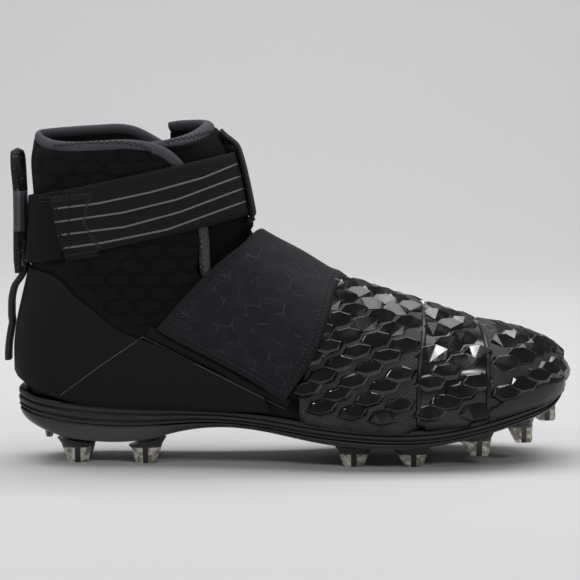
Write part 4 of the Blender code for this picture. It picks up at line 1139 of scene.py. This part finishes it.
# Woven nylon: black, with rows 1.1 mm apart.
webbing, tree, shader = new_material("black webbing", "#1e1e20", 0.7)
waves = ribs(tree, object_vector(tree), 0.0011)
paint(shader, waves, "#19191b", "#2b2b2e")
bump(shader, waves, 0.00015)
for node in ("heel_loop", "heel_tab"):
    band_bm = solid_copy(node)
    swell(band_bm, by=0.0007)
    finish_piece(node + "_webbing", band_bm, webbing, [node])

# Sole. A satin black cup with moulded ribs, glued to the upper, on a moulded plate that turns smoke grey
# under the heel.

# Moulded nylon: satin black, faintly streaked.
satin, tree, shader = new_material("satin black sole", "#1f1f20", 0.42, specular=0.45)
streak = noise(tree, object_vector(tree, (1, 1, 6)), 0.020, 3.0)
paint(shader, streak, "#19191a", "#28282a")
bump(shader, noise(tree, object_vector(tree), 0.0007, 2.0), 0.00006)

# Moulded polyurethane: glossy black in front, turning smoke grey low down under the heel.
plate, tree, shader = new_material("smoke grey plate", "#3a3a3c", 0.3, specular=0.5)
place = add(tree, "SeparateXYZ", {}, {0: object_vector(tree)})
low = ramp(tree, place.outputs[2], 0.012, 0.027, 1, 0)
rear = ramp(tree, place.outputs[0], -0.075, -0.040, 1, 0)
mixed = maths(tree, "MULTIPLY", low, maths(tree, "MULTIPLY_ADD", rear, 0.75, 0.25))
paint(shader, mixed, "#1e1e1f", "#505053")
for node, finish, slot in (("midsole", satin, "plate"), ("outsole", plate, "smoke_plastic")):
    sole_bm = solid_copy(node, crease_from=60)
    finish_piece(node + "_moulded", sole_bm, finish, [node])

# Studs. Moulded in one with the plate, in two plastics: a dark core, and clear facets at the front and rear
# of its lower part. The two low bumps have the core alone.

# Moulded polyurethane: dark smoke, glossy.
core, _, _ = new_material("dark smoke stud core", "#2f2f31", 0.25, Coat_Weight=0.3)
# Clear moulded polyurethane: pale and cloudy, glossy.
clear, tree, shader = new_material("clear stud facets", "#cfcabb", 0.12, Coat_Weight=0.6, Coat_Roughness=0.05)
clouds = noise(tree, object_vector(tree), 0.0035, 3.0)
paint(shader, ramp(tree, clouds, 0.4, 0.62), "#8f8a7c", "#e2dfd2")
CORE_HALF = 0.32  # of the stud's half length at its foot, taken by the core to each side
FACETS_TOP = 0.62  # of the stud's height
FOOT_DEPTH = 0.0002
FACET_EDGE, FACET_DEPTH = 0.0005, -0.0003
for node in sorted(name for name in NODES if name.startswith("stud_")):
    stud = welded(node)
    low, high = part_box(node)
    foot = [v.co.x for v in stud.verts if v.co.z < low.z + FOOT_DEPTH]
    middle = sum(foot) / len(foot)
    core_reach = max(abs(x - middle) for x in foot) * CORE_HALF
    split = low.z + (high.z - low.z) * FACETS_TOP
    cuts = (
        ((middle - core_reach, 0, 0), (1, 0, 0)),
        ((middle + core_reach, 0, 0), (1, 0, 0)),
        ((0, 0, split), (0, 0, 1)),
    )
    for place, normal in cuts:
        geometry = list(stud.verts) + list(stud.edges) + list(stud.faces)
        bmesh.ops.bisect_plane(stud, geom=geometry, plane_co=place, plane_no=normal)
    facets = []
    for face in stud.faces:
        centre = face.calc_center_median()
        outside = abs(centre.x - middle) > core_reach and centre.z < split
        if outside and "bump" not in node and abs(face.normal.z) < 0.9:
            face.material_index = 1
            facets.append(face)
    if facets:
        bmesh.ops.inset_individual(stud, faces=facets, thickness=FACET_EDGE, depth=FACET_DEPTH)
    finish_piece(node + "_moulded", stud, [core, clear], [node], smooth=False)

# Camera, light and floor. The camera is the viewpoint, and the pale paper floor bends up into a wall. Five
# soft lamps light the shoe and the wall.

SENSOR = 36


def turn_to(made, place, direction):
    """Puts a camera or lamp at a place, facing along a direction."""
    made.location = place
    made.rotation_mode = "QUATERNION"
    made.rotation_quaternion = direction.to_track_quat("-Z", "Y")


camera_data = bpy.data.cameras.new("camera")
camera_data.sensor_width = SENSOR
camera_data.lens = SENSOR * DISTANCE / PICTURE_WIDTH
camera_data.dof.use_dof = False
camera = new_object("camera", camera_data)
turn_to(camera, AIM + BACK * DISTANCE, -BACK)
scene.camera = camera

FLOOR_DEPTH, FLOOR_WIDTH, WALL_BEND = 1.3, 8.0, 1.2
backdrop = bmesh.new()
profile = [(-3.0, 0.0), (FLOOR_DEPTH, 0.0)]
for a in np.linspace(0.1, math.pi / 2, 14):
    profile.append((FLOOR_DEPTH + WALL_BEND * math.sin(a), WALL_BEND - WALL_BEND * math.cos(a)))
profile += [(FLOOR_DEPTH + WALL_BEND, 5.0)]
edge = [backdrop.verts.new((-FLOOR_WIDTH / 2, y, z)) for y, z in profile]
line = [backdrop.edges.new(pair) for pair in zip(edge, edge[1:])]
swept = bmesh.ops.extrude_edge_only(backdrop, edges=line)["geom"]
moved = [v for v in swept if isinstance(v, bmesh.types.BMVert)]
bmesh.ops.translate(backdrop, verts=moved, vec=(FLOOR_WIDTH, 0, 0))
# Background paper: matt and pale.
paper, _, _ = new_material("pale grey paper", "#cfcfd0", 0.9, specular=0.1)
backdrop_mesh = from_bmesh("backdrop", backdrop)
backdrop_mesh.materials.append(paper)
backdrop_mesh.polygons.foreach_set("use_smooth", [True] * len(backdrop_mesh.polygons))
new_object("backdrop", backdrop_mesh)

LIGHTS = (
    # name, place, the point it faces, width, height, watts
    ("top", (0.0, 0.10, 1.50), (0, 0.05, 0), 2.2, 0.9, 20.5),
    ("wall", (0.0, 0.90, 2.20), (0, 2.3, 0.5), 3.0, 0.8, 36.0),
    ("left", (-0.8, -1.0, 1.05), (0, 0, 0.07), 0.22, 0.22, 3.2),
    ("right", (0.9, -1.1, 0.85), (0, 0, 0.07), 0.20, 0.20, 2.6),
    ("front", (0.15, -1.3, 0.95), (0, 0, 0.07), 0.12, 0.12, 1.2),
)
for name, place, faced, width, height, watts in LIGHTS:
    light = bpy.data.lights.new(name, "AREA")
    light.shape = "RECTANGLE"
    light.size, light.size_y = width, height
    light.energy = watts
    lamp = new_object(name, light)
    turn_to(lamp, place, Vector(faced) - Vector(place))
world = bpy.data.worlds.new("studio")
world.use_nodes = True
world.node_tree.nodes["Background"].inputs["Color"].default_value = colour("#e9eaec")
world.node_tree.nodes["Background"].inputs["Strength"].default_value = 0.15
scene.world = world
scene.view_settings.view_transform = "Standard"
